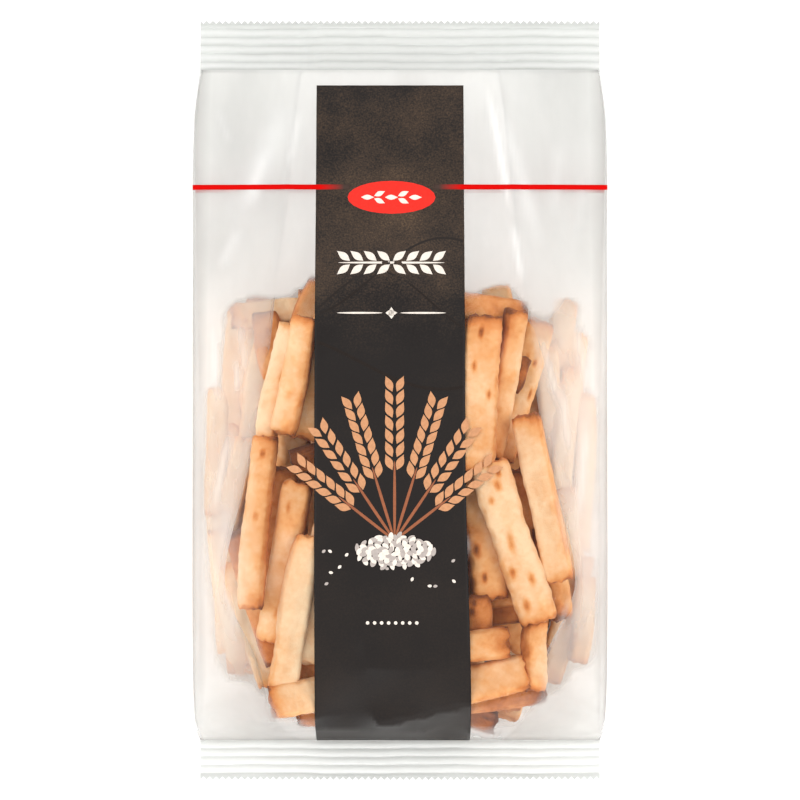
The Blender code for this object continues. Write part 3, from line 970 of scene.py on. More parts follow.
def make_back_seam():
    """The lengthwise seam, pressed flat against the back."""
    ys = np.linspace(BOTTOM_EDGE, TOP_EDGE, 90)
    xs = np.linspace(-2.0, BACK_SEAM_WIDTH - 2.0, 9)
    x, y = np.meshgrid(xs, ys)
    z = back_plain(x, y) - 0.1 - 0.25 * fade(x, -2.0, 0.0)
    strip = grid_piece("back_seam", np.stack([x, y, np.maximum(z, 0.12)], axis=2))
    thicken(strip, 0.12)
    return finish(strip, "shaded_back_film", 40)


def make_band(film):
    """The dark printed band on the front."""
    rows = int(np.searchsorted(film.ys, BAND_TOP - 0.01)) + 1
    columns = slice(LEFT_COLUMNS, LEFT_COLUMNS + BAND_COLUMNS + 1)
    band = grid_piece("printed_band", film.front_points(PRINT_LIFT)[:rows, columns])
    thicken(band, INK, 1.0)
    return finish(band, "band_print")


def make_red_line(film):
    """The thin line round the bag, broken on the band where the badge sits."""
    edges = [LINE_MIDDLE - LINE_WIDTH / 2, LINE_MIDDLE + LINE_WIDTH / 2]
    first, last = [int(np.argmin(np.abs(film.ys - edge))) for edge in edges]
    rows = slice(first, last + 1)
    front = film.front_points(PRINT_LIFT + 0.06)[rows]
    across = front[0, :, 0]
    left = front[:, :int(np.searchsorted(across, LINE_STOP_LEFT)) + 1]
    right = front[:, int(np.searchsorted(across, LINE_STOP_RIGHT)) - 1:]
    strips = [left, right, film.back_points(0.06)[rows]]
    for side in (-1, 1):
        for upper in (False, True):
            strips.append(film.side_points(side, upper, 0.06)[rows])
    line = join("red_line", [grid_piece("line", points) for points in strips])
    thicken(line, INK)
    return finish(line, "line_print")


def flat_shape(film, x, y, length, width, turn=0.0, point=0.0, lift=0.14, cells=(12, 6)):
    """A small printed shape draped on the film: an oval, or a leaf where point is 1."""
    along, side = np.meshgrid(np.linspace(0, 1, cells[0] + 1), np.linspace(-1, 1, cells[1] + 1),
                              indexing="ij")
    along = (1 - point) * (1 - np.cos(math.pi * along)) / 2 + point * along
    oval = np.sqrt(np.clip(1 - (2 * along - 1) ** 2, 0, 1))
    leaf = np.sin(math.pi * along) ** 1.2 * (1.15 - 0.4 * along)
    half = width / 2 * ((1 - point) * oval + point * leaf)
    u = (along - 0.5) * length
    v = side * half
    lean = math.radians(turn)
    px = x + u * math.cos(lean) - v * math.sin(lean)
    py = y + u * math.sin(lean) + v * math.cos(lean)
    return grid_piece("shape", np.stack([px, py, film.height_at(px, py) + lift], axis=2))


def stroke(film, y, swing, pitch, phase, width):
    """A thin printed curve across the band, draped on the film."""
    x = np.linspace(*CURVE_ENDS, CURVE_STEPS)
    middle = y + swing * np.sin(x / pitch + phase)
    side = np.array([[-0.5, 0.5]]) * width
    tilt = np.arctan(np.gradient(middle, x))[:, None]
    px = x[:, None] - side * np.sin(tilt)
    py = middle[:, None] + side * np.cos(tilt)
    return grid_piece("stroke", np.stack([px, py, film.height_at(px, py) + 0.11], axis=2))


def make_print(name, shapes, ink, thickness=INK):
    """Printed shapes of one ink, joined."""
    piece = join(name, shapes)
    thicken(piece, thickness, 1.0)
    return finish(piece, ink, 60)


def print_shapes(name, film, rows, ink):
    """Flat shapes printed in one ink: rows of x, y, length, width, turn, point and lift."""
    return make_print(name, [flat_shape(film, *row) for row in rows], ink)


def badge_leaves():
    """A small sprig in the middle of the badge."""
    return [(ART_X + x, BADGE_Y + y, length, 2.0, turn, 1.0, 0.24)
            for x, y, length, turn in BADGE_LEAVES]


def long_sprig():
    """A long sprig with pairs of leaves that point outwards from its middle."""
    leaves = [(ART_X + side * (3.0 + 5.0 * k), SPRIG_Y + 2.6 * up, *SPRIG_LEAF,
               90 - 90 * side + 38 * side * up, 1.0)
              for side in (-1, 1) for k in range(4) for up in (-1, 1)]
    return leaves + [(ART_X, SPRIG_Y, *SPRIG_SIZE)]


def small_marks():
    """A rule broken by a four-pointed star, and a row of dots near the bottom."""
    rule = [(ART_X + side * 11.8, RULE_Y, *RULE_SIZE) for side in (-1, 1)]
    star = [(ART_X, RULE_Y, *STAR_SIZE, turn, 1.0) for turn in (0, 90)]
    dots = [(-12.0 + DOT_SPACING * k, DOTS_Y, DOT_SIZE, DOT_SIZE) for k in range(8)]
    return rule + star + dots


def ears_of_grain():
    """Ears that fan out from one foot: the rows of their leaf-shaped husks and of their stalks."""
    husks, stalks = [], []
    foot_x, foot_y = EARS_FOOT
    for lean in EAR_LEANS:
        reach = EAR_REACH - 0.24 * abs(lean)
        sine, cosine = math.sin(math.radians(lean)), math.cos(math.radians(lean))
        pairs = round(reach * 0.5 / HUSK_SPACING) + 1
        for step in range(pairs):
            out = reach * (0.5 + 0.5 * step / (pairs - 1))
            for side in (-1, 1):
                off = side * HUSK_OFF
                turn = 90 - lean - side * HUSK_TURN
                husks.append((foot_x + out * sine + off * cosine,
                              foot_y + out * cosine - off * sine,
                              *HUSK_SIZE, turn, 1.0, 0.16 + 0.01 * step))
        stalks.append((foot_x + reach * sine * 0.25, foot_y + reach * cosine * 0.25,
                       *STALK_SIZE, 90 - lean, 0, 0.13))
    return husks, stalks


def spilt_grains():
    """Grains in a low heap at the ears' foot, the inner ones on top, and a few loose ones."""
    draw = np.random.default_rng(5)
    x, y = HEAP_MIDDLE
    grains = []
    for k in range(HEAP_GRAINS):
        out, turn = math.sqrt((k + 0.5) / HEAP_GRAINS), GOLDEN_TURN * k
        grains.append((x + HEAP_SIZE[0] / 2 * out * math.cos(turn),
                       y + HEAP_SIZE[1] / 2 * out * math.sin(turn),
                       draw.uniform(2.6, 3.6), draw.uniform(1.6, 2.2),
                       draw.uniform(0, 180), 0.3, 0.30 + 0.004 * (HEAP_GRAINS - k)))
    for _ in range(LOOSE_GRAINS):
        grains.append((draw.uniform(-29, 22), y - 6 + draw.uniform(-7, 7), 1.6, 1.1,
                       draw.uniform(0, 180), 0.3, 0.14))
    return grains


def settle_artwork(film):
    """All that is printed on the band and over its edges."""
    settle(print_shapes("red_badge", film, [(ART_X, BADGE_Y, *BADGE_SIZE)], "red_ink"))
    settle(print_shapes("cream_print", film, badge_leaves() + long_sprig() + small_marks(),
                        "cream_ink"))
    curves = [stroke(film, *row) for row in CURVES]
    settle(make_print("dark_curves", curves, "dark_ink", 0.02))
    husks, stalks = ears_of_grain()
    grains = spilt_grains()
    for name, rows, ink in (("grain_ears", husks, "tan_ink"),
                            ("grain_stalks", stalks, "brown_ink"),
                            ("loose_grains", grains[1::2], "grey_ink"),
                            ("pale_grains", grains[::2], "cream_ink")):
        settle(print_shapes(name, film, rows, ink))


def divide_along(axis, cuts):
    """In edit mode, cut every edge that runs along an axis into equal lengths."""
    edit = bmesh.from_edit_mesh(bpy.context.object.data)
    for edge in edit.edges:
        run = edge.verts[1].co - edge.verts[0].co
        edge.select = abs(run[axis]) > 1e-4 and abs(run[axis]) > 0.99 * run.length
    edit.select_flush_mode()
    bmesh.update_edit_mesh(bpy.context.object.data)
    bpy.ops.mesh.subdivide(number_cuts=cuts)


def master_bar(name, across, along, high):
    """A plain bar from -1 to 1 each way, cut into cells, that every breadstick starts from."""
    deselect()
    bpy.ops.mesh.primitive_cube_add(size=2.0)
    bar = bpy.context.object
    bar.name = name
    bpy.ops.object.mode_set(mode="EDIT")
    bpy.context.tool_settings.mesh_select_mode = (False, True, False)
    for axis, cuts in ((0, across - 1), (1, along - 1), (2, high - 1)):
        divide_along(axis, cuts)
    bpy.ops.object.mode_set(mode="OBJECT")
    return bar


def rough(draw, points, size, count=5):
    """Smooth unevenness in space between about -1 and 1, with features of the given size."""
    total = np.zeros(len(points))
    for _ in range(count):
        way = draw.normal(size=3)
        way /= np.linalg.norm(way)
        turn = 2 * math.pi / (size * draw.uniform(0.7, 1.5))
        total += np.sin(points @ way * turn + draw.uniform(0, 2 * math.pi))
    return total / math.sqrt(count * 0.9)


def oval_spots(points_x, points_y, spots, along_x, along_y):
    """How strongly each point of the plan lies in one of some soft oval spots."""
    total = np.zeros(len(points_x))
    for x, y, long, wide in spots:
        from_x, from_y = points_x - x, points_y - y
        lengthwise = (from_x * along_x + from_y * along_y) / (long / 2)
        sideways = (from_x * along_y - from_y * along_x) / (wide / 2)
        total += np.exp(-(lengthwise ** 2 + sideways ** 2) ** 1.3)
    return total


def blisters_on(draw, stick, half, across, along, count):
    """Height of the small blisters that baking raises on a stick's top."""
    height = np.zeros(len(across))
    for _ in range(count):
        middle_across = draw.uniform(-0.42, 0.42) * stick.width
        middle_along = draw.uniform(-0.9, 0.9) * half
        size_across = draw.uniform(1.0, 2.2)
        size_along = size_across * draw.uniform(1.2, 2.6)
        away = (((across - middle_across) / size_across) ** 2
                + ((along - middle_along) / size_along) ** 2)
        height += draw.uniform(0.15, 0.6) * np.exp(-away)
    return height


def random_spots(draw, stick, half, along_x, along_y):
    """A few brown spots anywhere on a stick that lies below the front ones."""
    spots = []
    for _ in range(draw.integers(0, 3) if stick.depth >= 3 else 0):
        share, off = draw.uniform(-0.9, 0.9), draw.uniform(-0.3, 0.3) * stick.width
        spots.append(((stick.xa + stick.xb) / 2 + share * half * along_x + off * along_y,
                      (stick.ya + stick.yb) / 2 + share * half * along_y - off * along_x,
                      draw.uniform(2.5, 5.0), draw.uniform(1.0, 2.2)))
    return spots


def crust_tone(draw, stick, bar, place, half):
    """How brown a stick is all over: more at its edges, sides, underside and ends."""
    bar_x, bar_y, bar_z = bar.T
    turned = min(max(stick.roll / 15, -1), 1)
    toast = np.where(bar_y < 0, draw.uniform(0.6, 1.2), draw.uniform(0.6, 1.2))
    from_end = half * (1 - np.abs(bar_y))
    ends = toast * (0.40 * np.exp(-from_end / END_REACH) + 0.14 * np.exp(-from_end / 6.0))
    edges = (0.09 + 0.08 * np.maximum(rough(draw, place, 9.0), 0)) * np.abs(bar_x) ** 7
    flank = (np.abs(bar_x) > 0.95) * fade(-bar_z, -0.6, 0.7)
    return (stick.bake + edges + 0.15 * turned * bar_x + 0.24 * flank + 0.3 * (bar_z < -0.9) + ends
            + 0.07 * rough(draw, place, 30.0))


def rounded_bar(bar, stick, half):
    """The plain bar's points across, along and up a stick whose section is rounded."""
    bar_x, bar_y, bar_z = bar.T
    reach = np.maximum(np.abs(bar_x), np.abs(bar_z))
    total = np.abs(bar_x) ** SECTION_POWER + np.abs(bar_z) ** SECTION_POWER
    norm = total ** (1 / SECTION_POWER)
    rounding = reach / np.maximum(norm, 1e-6)
    return bar_x * rounding * stick.width / 2, bar_y * half, bar_z * rounding * stick.thick / 2


def roughened(draw, bar, stick, half, smooth_points, place, blisters):
    """Points across, along and up a stick once it is uneven, with ragged rims, blisters, torn
    ends and a slight bend; and how high its blisters stand."""
    bar_x, bar_y, bar_z = bar.T
    across, along, up = smooth_points
    end = np.exp(-(half - np.abs(along)) / END_REACH)
    width_wave = 0.03 * rough(draw, np.stack([0 * across, along, 0 * up], axis=1), 26)
    across = across * (1 + width_wave - 0.08 * end)
    up = up * (1 - 0.14 * end)
    ragged = 0.10 + 0.04 * max(0.0, stick.width - 11)
    rim = ragged * rough(draw, place, 5.0) + 0.08 * rough(draw, place, 2.2)
    across = across + np.sign(bar_x) * np.abs(bar_x) ** 4 * rim
    up = up + np.sign(bar_z) * (0.18 * rough(draw, place, 7.0) + 0.10 * rough(draw, place, 2.8))
    blister = blisters_on(draw, stick, half, across, along, blisters) * (bar_z > 0)
    torn = 0.5 * rough(draw, place, 4.0) + 0.25 * rough(draw, place, 1.8)
    cap = (np.abs(bar_y) > 0.999) * (1 - np.maximum(np.abs(bar_x), np.abs(bar_z)) ** 2)
    along = along + np.sign(bar_y) * (end * torn + 0.5 * cap)
    sway = draw.uniform(-0.9, 0.9)
    across = across + sway * np.cos(bar_y * math.pi / 2)
    across = across + draw.uniform(-0.5, 0.5) * np.sin(bar_y * math.pi)
    return across, along, up + blister, blister


def shape_stick(bar, stick, height, slope, number, blisters):
    """Points of one baked stick made from the plain bar, with its crumb's own coordinates and
    how brown it is at each point."""
    draw = np.random.default_rng(1000 + number)
    half = stick_length(stick) / 2
    plain = rounded_bar(bar, stick, half)
    place = np.stack(plain, axis=1) + number * 37.0
    across, along, up, blister = roughened(draw, bar, stick, half, plain, place, blisters)
    lean = math.radians(stick.roll)
    side = across * math.cos(lean) - up * math.sin(lean)
    rise = across * math.sin(lean) + up * math.cos(lean)
    along_x = (stick.xb - stick.xa) / (2 * half)
    along_y = (stick.yb - stick.ya) / (2 * half)
    points = np.stack([(stick.xa + stick.xb) / 2 + along * along_x + side * along_y,
                       (stick.ya + stick.yb) / 2 + along * along_y - side * along_x,
                       height + slope * along + rise], axis=1)
    browned = np.zeros(len(across))
    for spots, strength in ((random_spots(draw, stick, half, along_x, along_y), 0.32),
                            (stick.spots, 0.56)):
        browned += strength * oval_spots(points[:, 0], points[:, 1], spots, along_x, along_y)
    bake = crust_tone(draw, stick, bar, place, half) + 0.2 * blister + browned * (bar[:, 2] > 0)
    return points, place, bake


def shape_sticks(bar, lying, first_number, blisters):
    """Points, crumb coordinates and brownness of many breadsticks."""
    plain = read_points(bar.data)
    return [shape_stick(plain, row.stick, row.height, row.slope, first_number + k, blisters)
            for k, row in enumerate(lying)]


def tops_of(room, shaped):
    """Height of the highest point of some shaped sticks in each cell of the map."""
    tops = np.full(room.x.shape, NOTHING)
    for points, _, _ in shaped:
        column = np.rint((points[:, 0] - room.xs[0]) / CELL).astype(int)
        row = np.rint((points[:, 1] - room.ys[0]) / CELL).astype(int)
        known = (column >= 0) & (column < len(room.xs)) & (row >= 0) & (row < len(room.ys))
        np.maximum.at(tops, (row[known], column[known]), points[known, 2])
    return tops


def widened(tops):
    """A map of tops, each spread over the cells next to it."""
    return np.maximum.reduce([np.roll(tops, (i, j), (0, 1)) for i in (-1, 0, 1)
                              for j in (-1, 0, 1)])


def make_sticks(name, bar, shaped):
    """One piece of many breadsticks: copies of the bar, each given its own shape."""
    copies = []
    for _ in shaped:
        copy = bar.copy()
        copy.data = bar.data.copy()
        bpy.context.scene.collection.objects.link(copy)
        copies.append(copy)
    piece = join(name, copies)
    write_points(piece.data, np.concatenate([points for points, _, _ in shaped]))
    dough = piece.data.attributes.new("dough", "FLOAT_VECTOR", "POINT")
    places = np.concatenate([place for _, place, _ in shaped])
    dough.data.foreach_set("vector", places.astype(np.float32).ravel())
    write_values(piece, "bake", np.concatenate([tone for _, _, tone in shaped]))
    return finish(piece, "baked_dough", 50)


def linear(value):
    """One sRGB value as linear light."""
    return value / 12.92 if value <= 0.04045 else ((value + 0.055) / 1.055) ** 2.4


def srgb(colour):
    """A hex colour as linear red, green, blue and alpha."""
    return tuple(linear(int(colour[i:i + 2], 16) / 255) for i in (1, 3, 5)) + (1.0,)


def material(name):
    """The material of that name, made at its first use."""
    if name not in bpy.data.materials:
        made = bpy.data.materials.new(name)
        made.use_nodes = True
        tree = made.node_tree
        tree.nodes.clear()
        shader = printed_ink(tree, INKS[name]) if name in INKS else FINISHES[name](tree)
        surface = tree.nodes.new("ShaderNodeOutputMaterial").inputs["Surface"]
        tree.links.new(shader, surface)
    return bpy.data.materials[name]


def add(tree, kind, inputs=(), out=0, stops=(), **settings):
    """A shader node with its settings. Its inputs, in order or by name, are values or other
    nodes' outputs to link from; stops are a colour ramp's. Gives back the output asked for."""
    node = tree.nodes.new("ShaderNode" + kind)
    for key, value in settings.items():
        setattr(node, key, value)
    for key, value in inputs.items() if isinstance(inputs, dict) else enumerate(inputs):
        if isinstance(value, bpy.types.NodeSocket):
            tree.links.new(value, node.inputs[key])
        else:
            node.inputs[key].default_value = value
    if stops:
        elements = node.color_ramp.elements
        while len(elements) < len(stops):
            elements.new(1.0)
        for element, (place, colour) in zip(elements, stops):
            element.position = place
            element.color = srgb(colour)
    return node.outputs[out]


def vary(tree, base, pattern, amount):
    """A value raised and lowered by a pattern that lies round a half."""
    centred = add(tree, "Math", (pattern, 0.5), operation="SUBTRACT")
    return add(tree, "Math", (centred, amount, base), operation="MULTIPLY_ADD")


def plan_axes(tree):
    """Object coordinates, how far out from the bag's middle, and how far along the bag."""
    place = add(tree, "TexCoord", out="Object")
    outward = add(tree, "Math", (add(tree, "SeparateXYZ", (place,), out="X"),),
                  operation="ABSOLUTE")
    return place, outward, add(tree, "SeparateXYZ", (place,), out="Y")


def baked_dough(tree):
    """Crisp baked breadstick: a dry matt crust, pale where the dough was thick or shaded and
    browned at edges, ends and blisters, with a fine grain of crumb."""
    place = add(tree, "Attribute", out="Vector", attribute_name="dough")
    tone = add(tree, "Attribute", out="Fac", attribute_name="bake")
    blotches, mottling, crumb = [
        add(tree, "TexNoise", {"Vector": place, "Scale": scale, "Detail": detail,
                               "Roughness": roughness})
        for scale, detail, roughness in CRUST_PATTERNS]
    for pattern, amount in ((blotches, 0.55), (mottling, 0.30), (crumb, 0.12)):
        tone = vary(tree, tone, pattern, amount)
    colour = add(tree, "ValToRGB", (tone,), stops=DOUGH_COLOURS)
    grain = add(tree, "Math", (mottling, 1.5, crumb), operation="MULTIPLY_ADD")
    bump = add(tree, "Bump", {"Height": grain, "Strength": 0.5, "Distance": 0.35 * MM})
    return add(tree, "BsdfPrincipled", {
        "Base Color": colour, "Roughness": 0.78, "Normal": bump, "Specular IOR Level": 0.25,
        "Sheen Weight": 0.05})


def film_shader(tree, tint, haze, colour, shine, roughness, bump=None):
    """Clear plastic film: mostly see-through, a little haze, and a soft reflection."""
    clear = add(tree, "BsdfTransparent", {"Color": srgb(tint)})
    white = add(tree, "BsdfDiffuse", {"Color": colour})
    glow = add(tree, "BsdfTranslucent", {"Color": colour})
    milk = add(tree, "MixShader", (0.45, white, glow))
    body = add(tree, "MixShader", (haze, clear, milk))
    gloss_inputs = {"Color": srgb("#ffffff"), "Roughness": roughness}
    if bump is not None:
        gloss_inputs["Normal"] = bump
    return add(tree, "MixShader", (shine, body, add(tree, "BsdfGlossy", gloss_inputs)))


def fine_wrinkles(tree, place):
    """The film's slight unevenness, which only its reflections show."""
    wrinkle = add(tree, "TexNoise", {"Vector": place, "Scale": WRINKLES})
    return add(tree, "Bump", {"Height": wrinkle, "Strength": 0.25, "Distance": 0.4 * MM})


def streaks(tree, place, width, length):
    """Soft streaks along the bag, as wide and long as given, between 0 and 1."""
    drawn = add(tree, "Mapping", {"Vector": place, "Scale": (1 / width, 1 / length, 1 / width)})
    return add(tree, "TexNoise", {"Vector": drawn, "Scale": 0.5, "Detail": 3.0})


def clear_film(tree):
    """Thin clear polypropylene film of the front: glossy and hardly hazy where it is drawn
    taut over the breadsticks, hazier where it hangs slack, white along its creases partly as
    painted highlights. Its haze colour holds painted light and shade: lighter in the middle of
    the empty top, greyer at its outer parts there, at the side edges and at the bottom end."""
    place, outward, along = plan_axes(tree)
    bump = fine_wrinkles(tree, place)
    slack = add(tree, "Attribute", out="Fac", attribute_name="slack")
    crease = add(tree, "Attribute", out="Fac", attribute_name="crease")
    base = add(tree, "MapRange", (slack, 0.0, 1.0, 0.008, 0.54))
    streak = add(tree, "Math", (streaks(tree, place, 7 * MM, 40 * MM), 0.5),
                 operation="SUBTRACT")
    streak = add(tree, "Math", (streak, base), operation="MULTIPLY")
    haze = add(tree, "Math", (streak, 0.35, base), operation="MULTIPLY_ADD")
    # creases and glints whiten the haze, partly as painted highlights
    haze = add(tree, "Math", (haze, crease), operation="ADD")
    shine = add(tree, "Fresnel", {"IOR": 1.2, "Normal": bump})
    # painted light and shade: haze colour lighter in the middle of the empty top, greyer at its
    # outer parts there
    head = add(tree, "MapRange", (along, 38 * MM, 60 * MM))
    out = add(tree, "MapRange", (outward, 40 * MM, 68 * MM, -0.5, 0.5))
    tone = add(tree, "Math", (out, head, 0.5), operation="MULTIPLY_ADD")
    colour = add(tree, "ValToRGB", (tone,), stops=CLEAR_WHITES_PAINTED_LIGHT)
    # painted shade: haze colour greyed towards #bdbcba at the side edges, where the film turns
    # away, and near the bottom end
    edge = add(tree, "MapRange", (outward, *EDGE_SHADE_RANGE))
    low = add(tree, "MapRange", (along, -104 * MM, -128 * MM, 0.0, 0.6))
    shade = add(tree, "Math", (edge, low), operation="MAXIMUM")
    colour = add(tree, "Mix", {0: shade, 6: colour, 7: srgb("#bdbcba")}, out=2, data_type="RGBA")
    return film_shader(tree, "#fdfdfc", haze, colour, shine, 0.12, bump)


def shaded_back_film(tree):
    """The same film on the back, a greyer copy of it: painted shade where it lies close on the
    table.
    """
    place = add(tree, "TexCoord", out="Object")
    patch = add(tree, "TexNoise", {"Vector": place, "Scale": 20.0, "Detail": 3.0})
    haze = add(tree, "MapRange", (patch, 0.3, 0.7, 0.07, 0.12))
    # painted shade: haze colour and tint greyer than the front film's
    return film_shader(tree, "#faf9f8", haze, srgb("#e8e7e5"), 0.03, 0.2)


def side_film(tree):
    """The same film in the side folds, milky in soft streaks where its layers rub together,
    whitest along the inner fold and at its creases, partly as painted highlights; its colour
    greyer towards the bottom seal, with painted shade greying it in the empty top and at the
    outer edges that turn away."""
    place, outward, along = plan_axes(tree)
    haze = add(tree, "MapRange", (streaks(tree, place, 7 * MM, 26 * MM), 0.3, 0.7, 0.13, 0.34))
    haze = vary(tree, haze, add(tree, "TexNoise", {"Vector": place, "Scale": WRINKLES}), 0.22)
    fold = add(tree, "Attribute", out="Fac", attribute_name="fold_line")
    crease = add(tree, "Attribute", out="Fac", attribute_name="crease")
    # painted highlight: extra haze whitening the inner fold line and the creases and glints
    haze = add(tree, "Math", (fold, 0.2, haze), operation="MULTIPLY_ADD")
    haze = add(tree, "Math", (haze, crease), operation="ADD")
    # greyer towards the bottom seal, and painted shade greying the film in the empty top
    tone = add(tree, "ValToRGB", (add(tree, "MapRange", (along, -130 * MM, 70 * MM)),),
               stops=SIDE_WHITES_PAINTED_SHADE)
    # painted shade: greyer still at the outer parts of the empty top and at the outer edges that
    # turn away
    head = add(tree, "Math", (add(tree, "MapRange", (outward, 46 * MM, 70 * MM)),
                              add(tree, "MapRange", (along, 30 * MM, 60 * MM))),
               operation="MULTIPLY")
    edge = add(tree, "MapRange", (outward, *EDGE_SHADE_RANGE))
    for share, grey in ((head, "#9e9e9c"), (edge, "#9c9a96")):
        tone = add(tree, "Mix", {0: share, 6: tone, 7: srgb(grey)}, out=2, data_type="RGBA")
    return film_shader(tree, "#fdfdfc", haze, tone, 0.02, 0.25)


def seal_film(tree):
    """Heat-sealed crimped film: greyer at the very tips and whiter where the side folds add
    layers; painted highlights on the crests of its ribs and painted shade in the valleys, and
    painted light making the bottom seal hazier and whiter."""
    place, outward, along = plan_axes(tree)
    haze = add(tree, "MapRange", (outward, 35 * MM, 39 * MM, 0.60, 0.68))
    streak = add(tree, "TexNoise", {"Vector": place, "Scale": 60.0, "Detail": 3.0})
    haze = vary(tree, haze, streak, 0.15)
    # painted light: more haze on the bottom seal, which lies in more shade
    lower = add(tree, "MapRange", (along, 0.0, -100 * MM, 0.0, 0.24))
    haze = add(tree, "Math", (haze, lower), operation="ADD")
    # painted highlight on the rib crests, painted shade in the valleys, and painted light
    # whitening the bottom seal
    rib = add(tree, "Attribute", out="Fac", attribute_name="rib")
    white = add(tree, "Math", (add(tree, "MapRange", (rib, -1.0, 1.0, 0.0, 0.5)),
                               add(tree, "MapRange", (along, 0.0, -100 * MM, 0.0, 0.5))),
                operation="ADD")
    from_middle = add(tree, "Math", (along,), operation="ABSOLUTE")
    tip = add(tree, "MapRange", (from_middle, 142.2 * MM, 143.6 * MM, 0.0, 0.6))
    white = add(tree, "Math", (white, tip), operation="SUBTRACT")
    colour = add(tree, "ValToRGB", (white,), stops=SEAL_WHITES_PAINTED_LIGHT)
    return film_shader(tree, "#f6f6f5", haze, colour, 0.04, 0.2)


def band_print(tree):
    """Dark ink printed on the film: near black-brown, speckled like slate at the top, with
    faint chalky sweeps, under the film's own gloss."""
    place, _, along = plan_axes(tree)
    speck = add(tree, "TexNoise", {"Vector": place, "Scale": 1500.0, "Roughness": 0.7})
    cloud = add(tree, "TexNoise", {"Vector": place, "Scale": 45.0, "Detail": 4.0})
    cloud = add(tree, "Math", (cloud, 0.5), operation="SUBTRACT")
    cloud = add(tree, "Math", (cloud, 0.5), operation="MULTIPLY")
    slate = vary(tree, cloud, speck, 0.55)
    upper = add(tree, "MapRange", (along, 15 * MM, 40 * MM, 0.15, 1.0))
    tone = add(tree, "Math", (slate, upper, 0.40), operation="MULTIPLY_ADD")
    for low, high, gain in BAND_SWEEPS:
        sweep = add(tree, "MapRange", (along, low * MM, high * MM, 0.0, gain))
        tone = add(tree, "Math", (tone, sweep), operation="ADD")
    colour = add(tree, "ValToRGB", (tone,), stops=SLATE_COLOURS)
    return add(tree, "BsdfPrincipled", {
        "Base Color": colour, "Roughness": 0.4, "Normal": fine_wrinkles(tree, place),
        "Specular IOR Level": 0.06})


def printed_ink(tree, colour):
    """Ink on film: the colour itself hardly varies, its cover does a little."""
    place = add(tree, "TexCoord", out="Object")
    cover = add(tree, "TexNoise", {"Vector": place, "Scale": 900.0})
    thin = tuple(channel * 0.86 for channel in srgb(colour)[:3]) + (1.0,)
    share = add(tree, "MapRange", (cover, 0.35, 0.65))
    tint = add(tree, "Mix", {0: share, 6: thin, 7: srgb(colour)}, out=2, data_type="RGBA")
    return add(tree, "BsdfPrincipled", {"Base Color": tint, "Roughness": 0.36,
                                        "Specular IOR Level": 0.1})


def line_print(tree):
    """Red ink of the line, fading into the band's dark next to the badge."""
    place = add(tree, "TexCoord", out="Object")
    across = add(tree, "SeparateXYZ", (place,), out="X")
    from_badge = add(tree, "Math", (across, -ART_X * MM), operation="ADD")
    from_badge = add(tree, "Math", (from_badge,), operation="ABSOLUTE")
    share = add(tree, "MapRange", (from_badge, 18 * MM, 27 * MM))
    colour = add(tree, "ValToRGB", (share,), stops=[(0.0, "#40332e"), (1.0, "#bd0604")])
    return add(tree, "BsdfPrincipled", {"Base Color": colour, "Roughness": 0.5,
                                        "Specular IOR Level": 0.02})


def pale_table(tree):
    """A plain smooth white sheet, with the least unevenness."""
    place = add(tree, "TexCoord", out="Object")
    tone = add(tree, "TexNoise", {"Vector": place, "Scale": 6.0, "Detail": 3.0})
    colour = add(tree, "ValToRGB", (tone,), stops=[(0.0, "#f4f4f3"), (1.0, "#f8f8f7")])
    return add(tree, "BsdfPrincipled", {"Base Color": colour, "Roughness": 0.6})


FINISHES = {make.__name__: make for make in (
    baked_dough, clear_film, shaded_back_film, side_film, seal_film, band_print, line_print,
    pale_table)}


def make_floor():
    """The table that the bag lies on."""
    deselect()
    bpy.ops.mesh.primitive_plane_add(size=6.0, location=(0, 0, -0.0005))
    floor = bpy.context.object
    floor.name = "table_sheet"
    floor.data.materials.append(material("pale_table"))


def area_light(name, place, size, power):
    """A soft light at a place, turned to the bag."""
    light = bpy.data.lights.new(name, "AREA")
    light.shape = "RECTANGLE"
    light.size, light.size_y = size
    light.energy = power
    holder = bpy.data.objects.new(name, light)
    bpy.context.scene.collection.objects.link(holder)
    holder.location = place
    toward = Vector((0, 0, 0)) - Vector(place)
    holder.rotation_euler = toward.to_track_quat("-Z", "Y").to_euler()


def light_scene():
    """Soft studio light from both sides and the far end, and an even pale surround."""
    for row in LIGHTS:
        area_light(*row)
    world = bpy.data.worlds.new("surround")
    bpy.context.scene.world = world
    world.use_nodes = True
    background = world.node_tree.nodes["Background"]
    background.inputs["Color"].default_value = (1.0, 1.0, 1.0, 1.0)
    background.inputs["Strength"].default_value = SURROUND
    bpy.context.scene.view_settings.view_transform = "Standard"


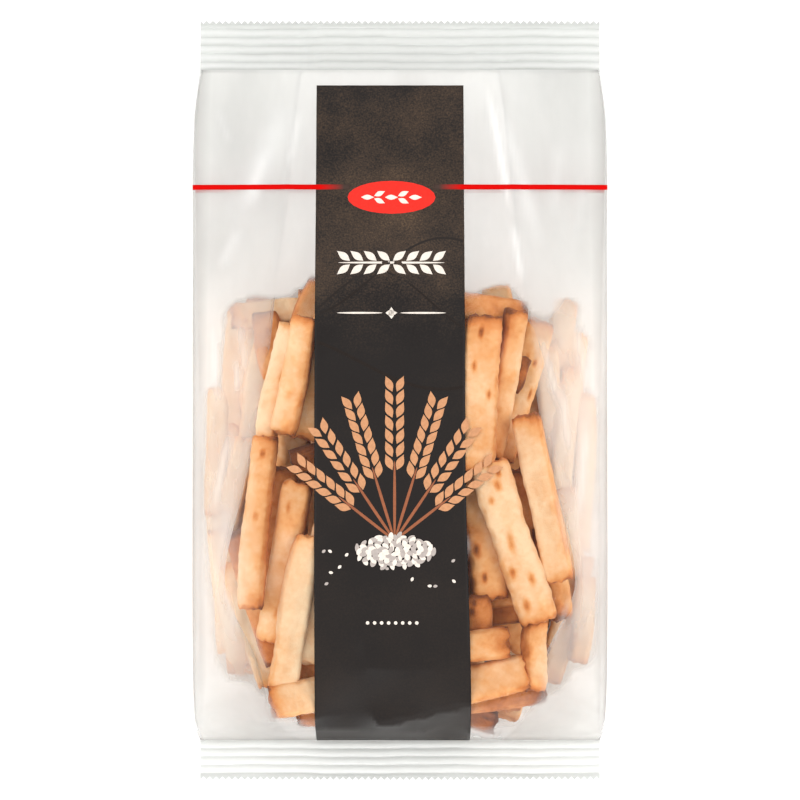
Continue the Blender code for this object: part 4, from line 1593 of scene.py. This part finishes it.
def place_camera():
    """Straight down on the middle of the bag."""
    data = bpy.data.cameras.new("camera")
    data.sensor_width = SENSOR
    data.lens = SENSOR * (CAMERA_HEIGHT - SEAL_VIEW_HEIGHT) / FRAME_WIDTH
    holder = bpy.data.objects.new("camera", data)
    bpy.context.scene.collection.objects.link(holder)
    holder.location = (0, 0, CAMERA_HEIGHT * MM)
    bpy.context.scene.camera = holder
    bpy.context.scene.render.resolution_x = PICTURE_SIDE
    bpy.context.scene.render.resolution_y = PICTURE_SIDE


def settle(piece):
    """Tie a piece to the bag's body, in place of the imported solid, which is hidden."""
    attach(piece, "root")
    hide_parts("sealed_bag")


place_camera()
room, lying = lay_breadsticks()
fine_bar = master_bar("fine_bar", 16, 80, 6)
bar = master_bar("bar", 10, 52, 6)
plain_bar = master_bar("plain_bar", 8, 36, 5)
flat = [row for row in lying if row.seen and row.stick.width >= FLAT_WIDTH]
narrow = [row for row in lying if row.seen and row.stick.width < FLAT_WIDTH]
hidden = [row for row in lying if not row.seen]
flat_shapes = shape_sticks(fine_bar, flat, 0, 8)
narrow_shapes = shape_sticks(bar, narrow, 100, 4)
hidden_shapes = shape_sticks(plain_bar, hidden, 200, 3)
seen_shapes = flat_shapes + narrow_shapes
deep_shapes = [shape for row, shape in zip(flat + narrow, seen_shapes) if row.stick.depth >= DEEP]
tops = tops_of(room, seen_shapes + hidden_shapes)
footprint = (soften((tops > NOTHING) * 1.0, 2) > 0.5) * 1.0
film = Film(room, widened(tops), widened(tops_of(room, deep_shapes + hidden_shapes)), footprint)
settle(make_bag_film(film))
settle(seal_plate("seal_top", TOP_EDGE, BAG_LENGTH / 2, TOP_SEAL_HEIGHT))
settle(seal_plate("seal_bottom", BOTTOM_EDGE, -BAG_LENGTH / 2, BOTTOM_SEAL_HEIGHT))
settle(make_back_seam())
settle(make_band(film))
settle(make_red_line(film))
settle_artwork(film)
settle(make_sticks("breadsticks_flat", fine_bar, flat_shapes))
settle(make_sticks("breadsticks_narrow", bar, narrow_shapes))
settle(make_sticks("breadsticks_inner", plain_bar, hidden_shapes))
for pattern in (fine_bar, bar, plain_bar):
    bpy.data.objects.remove(pattern, do_unlink=True)
make_floor()
light_scene()
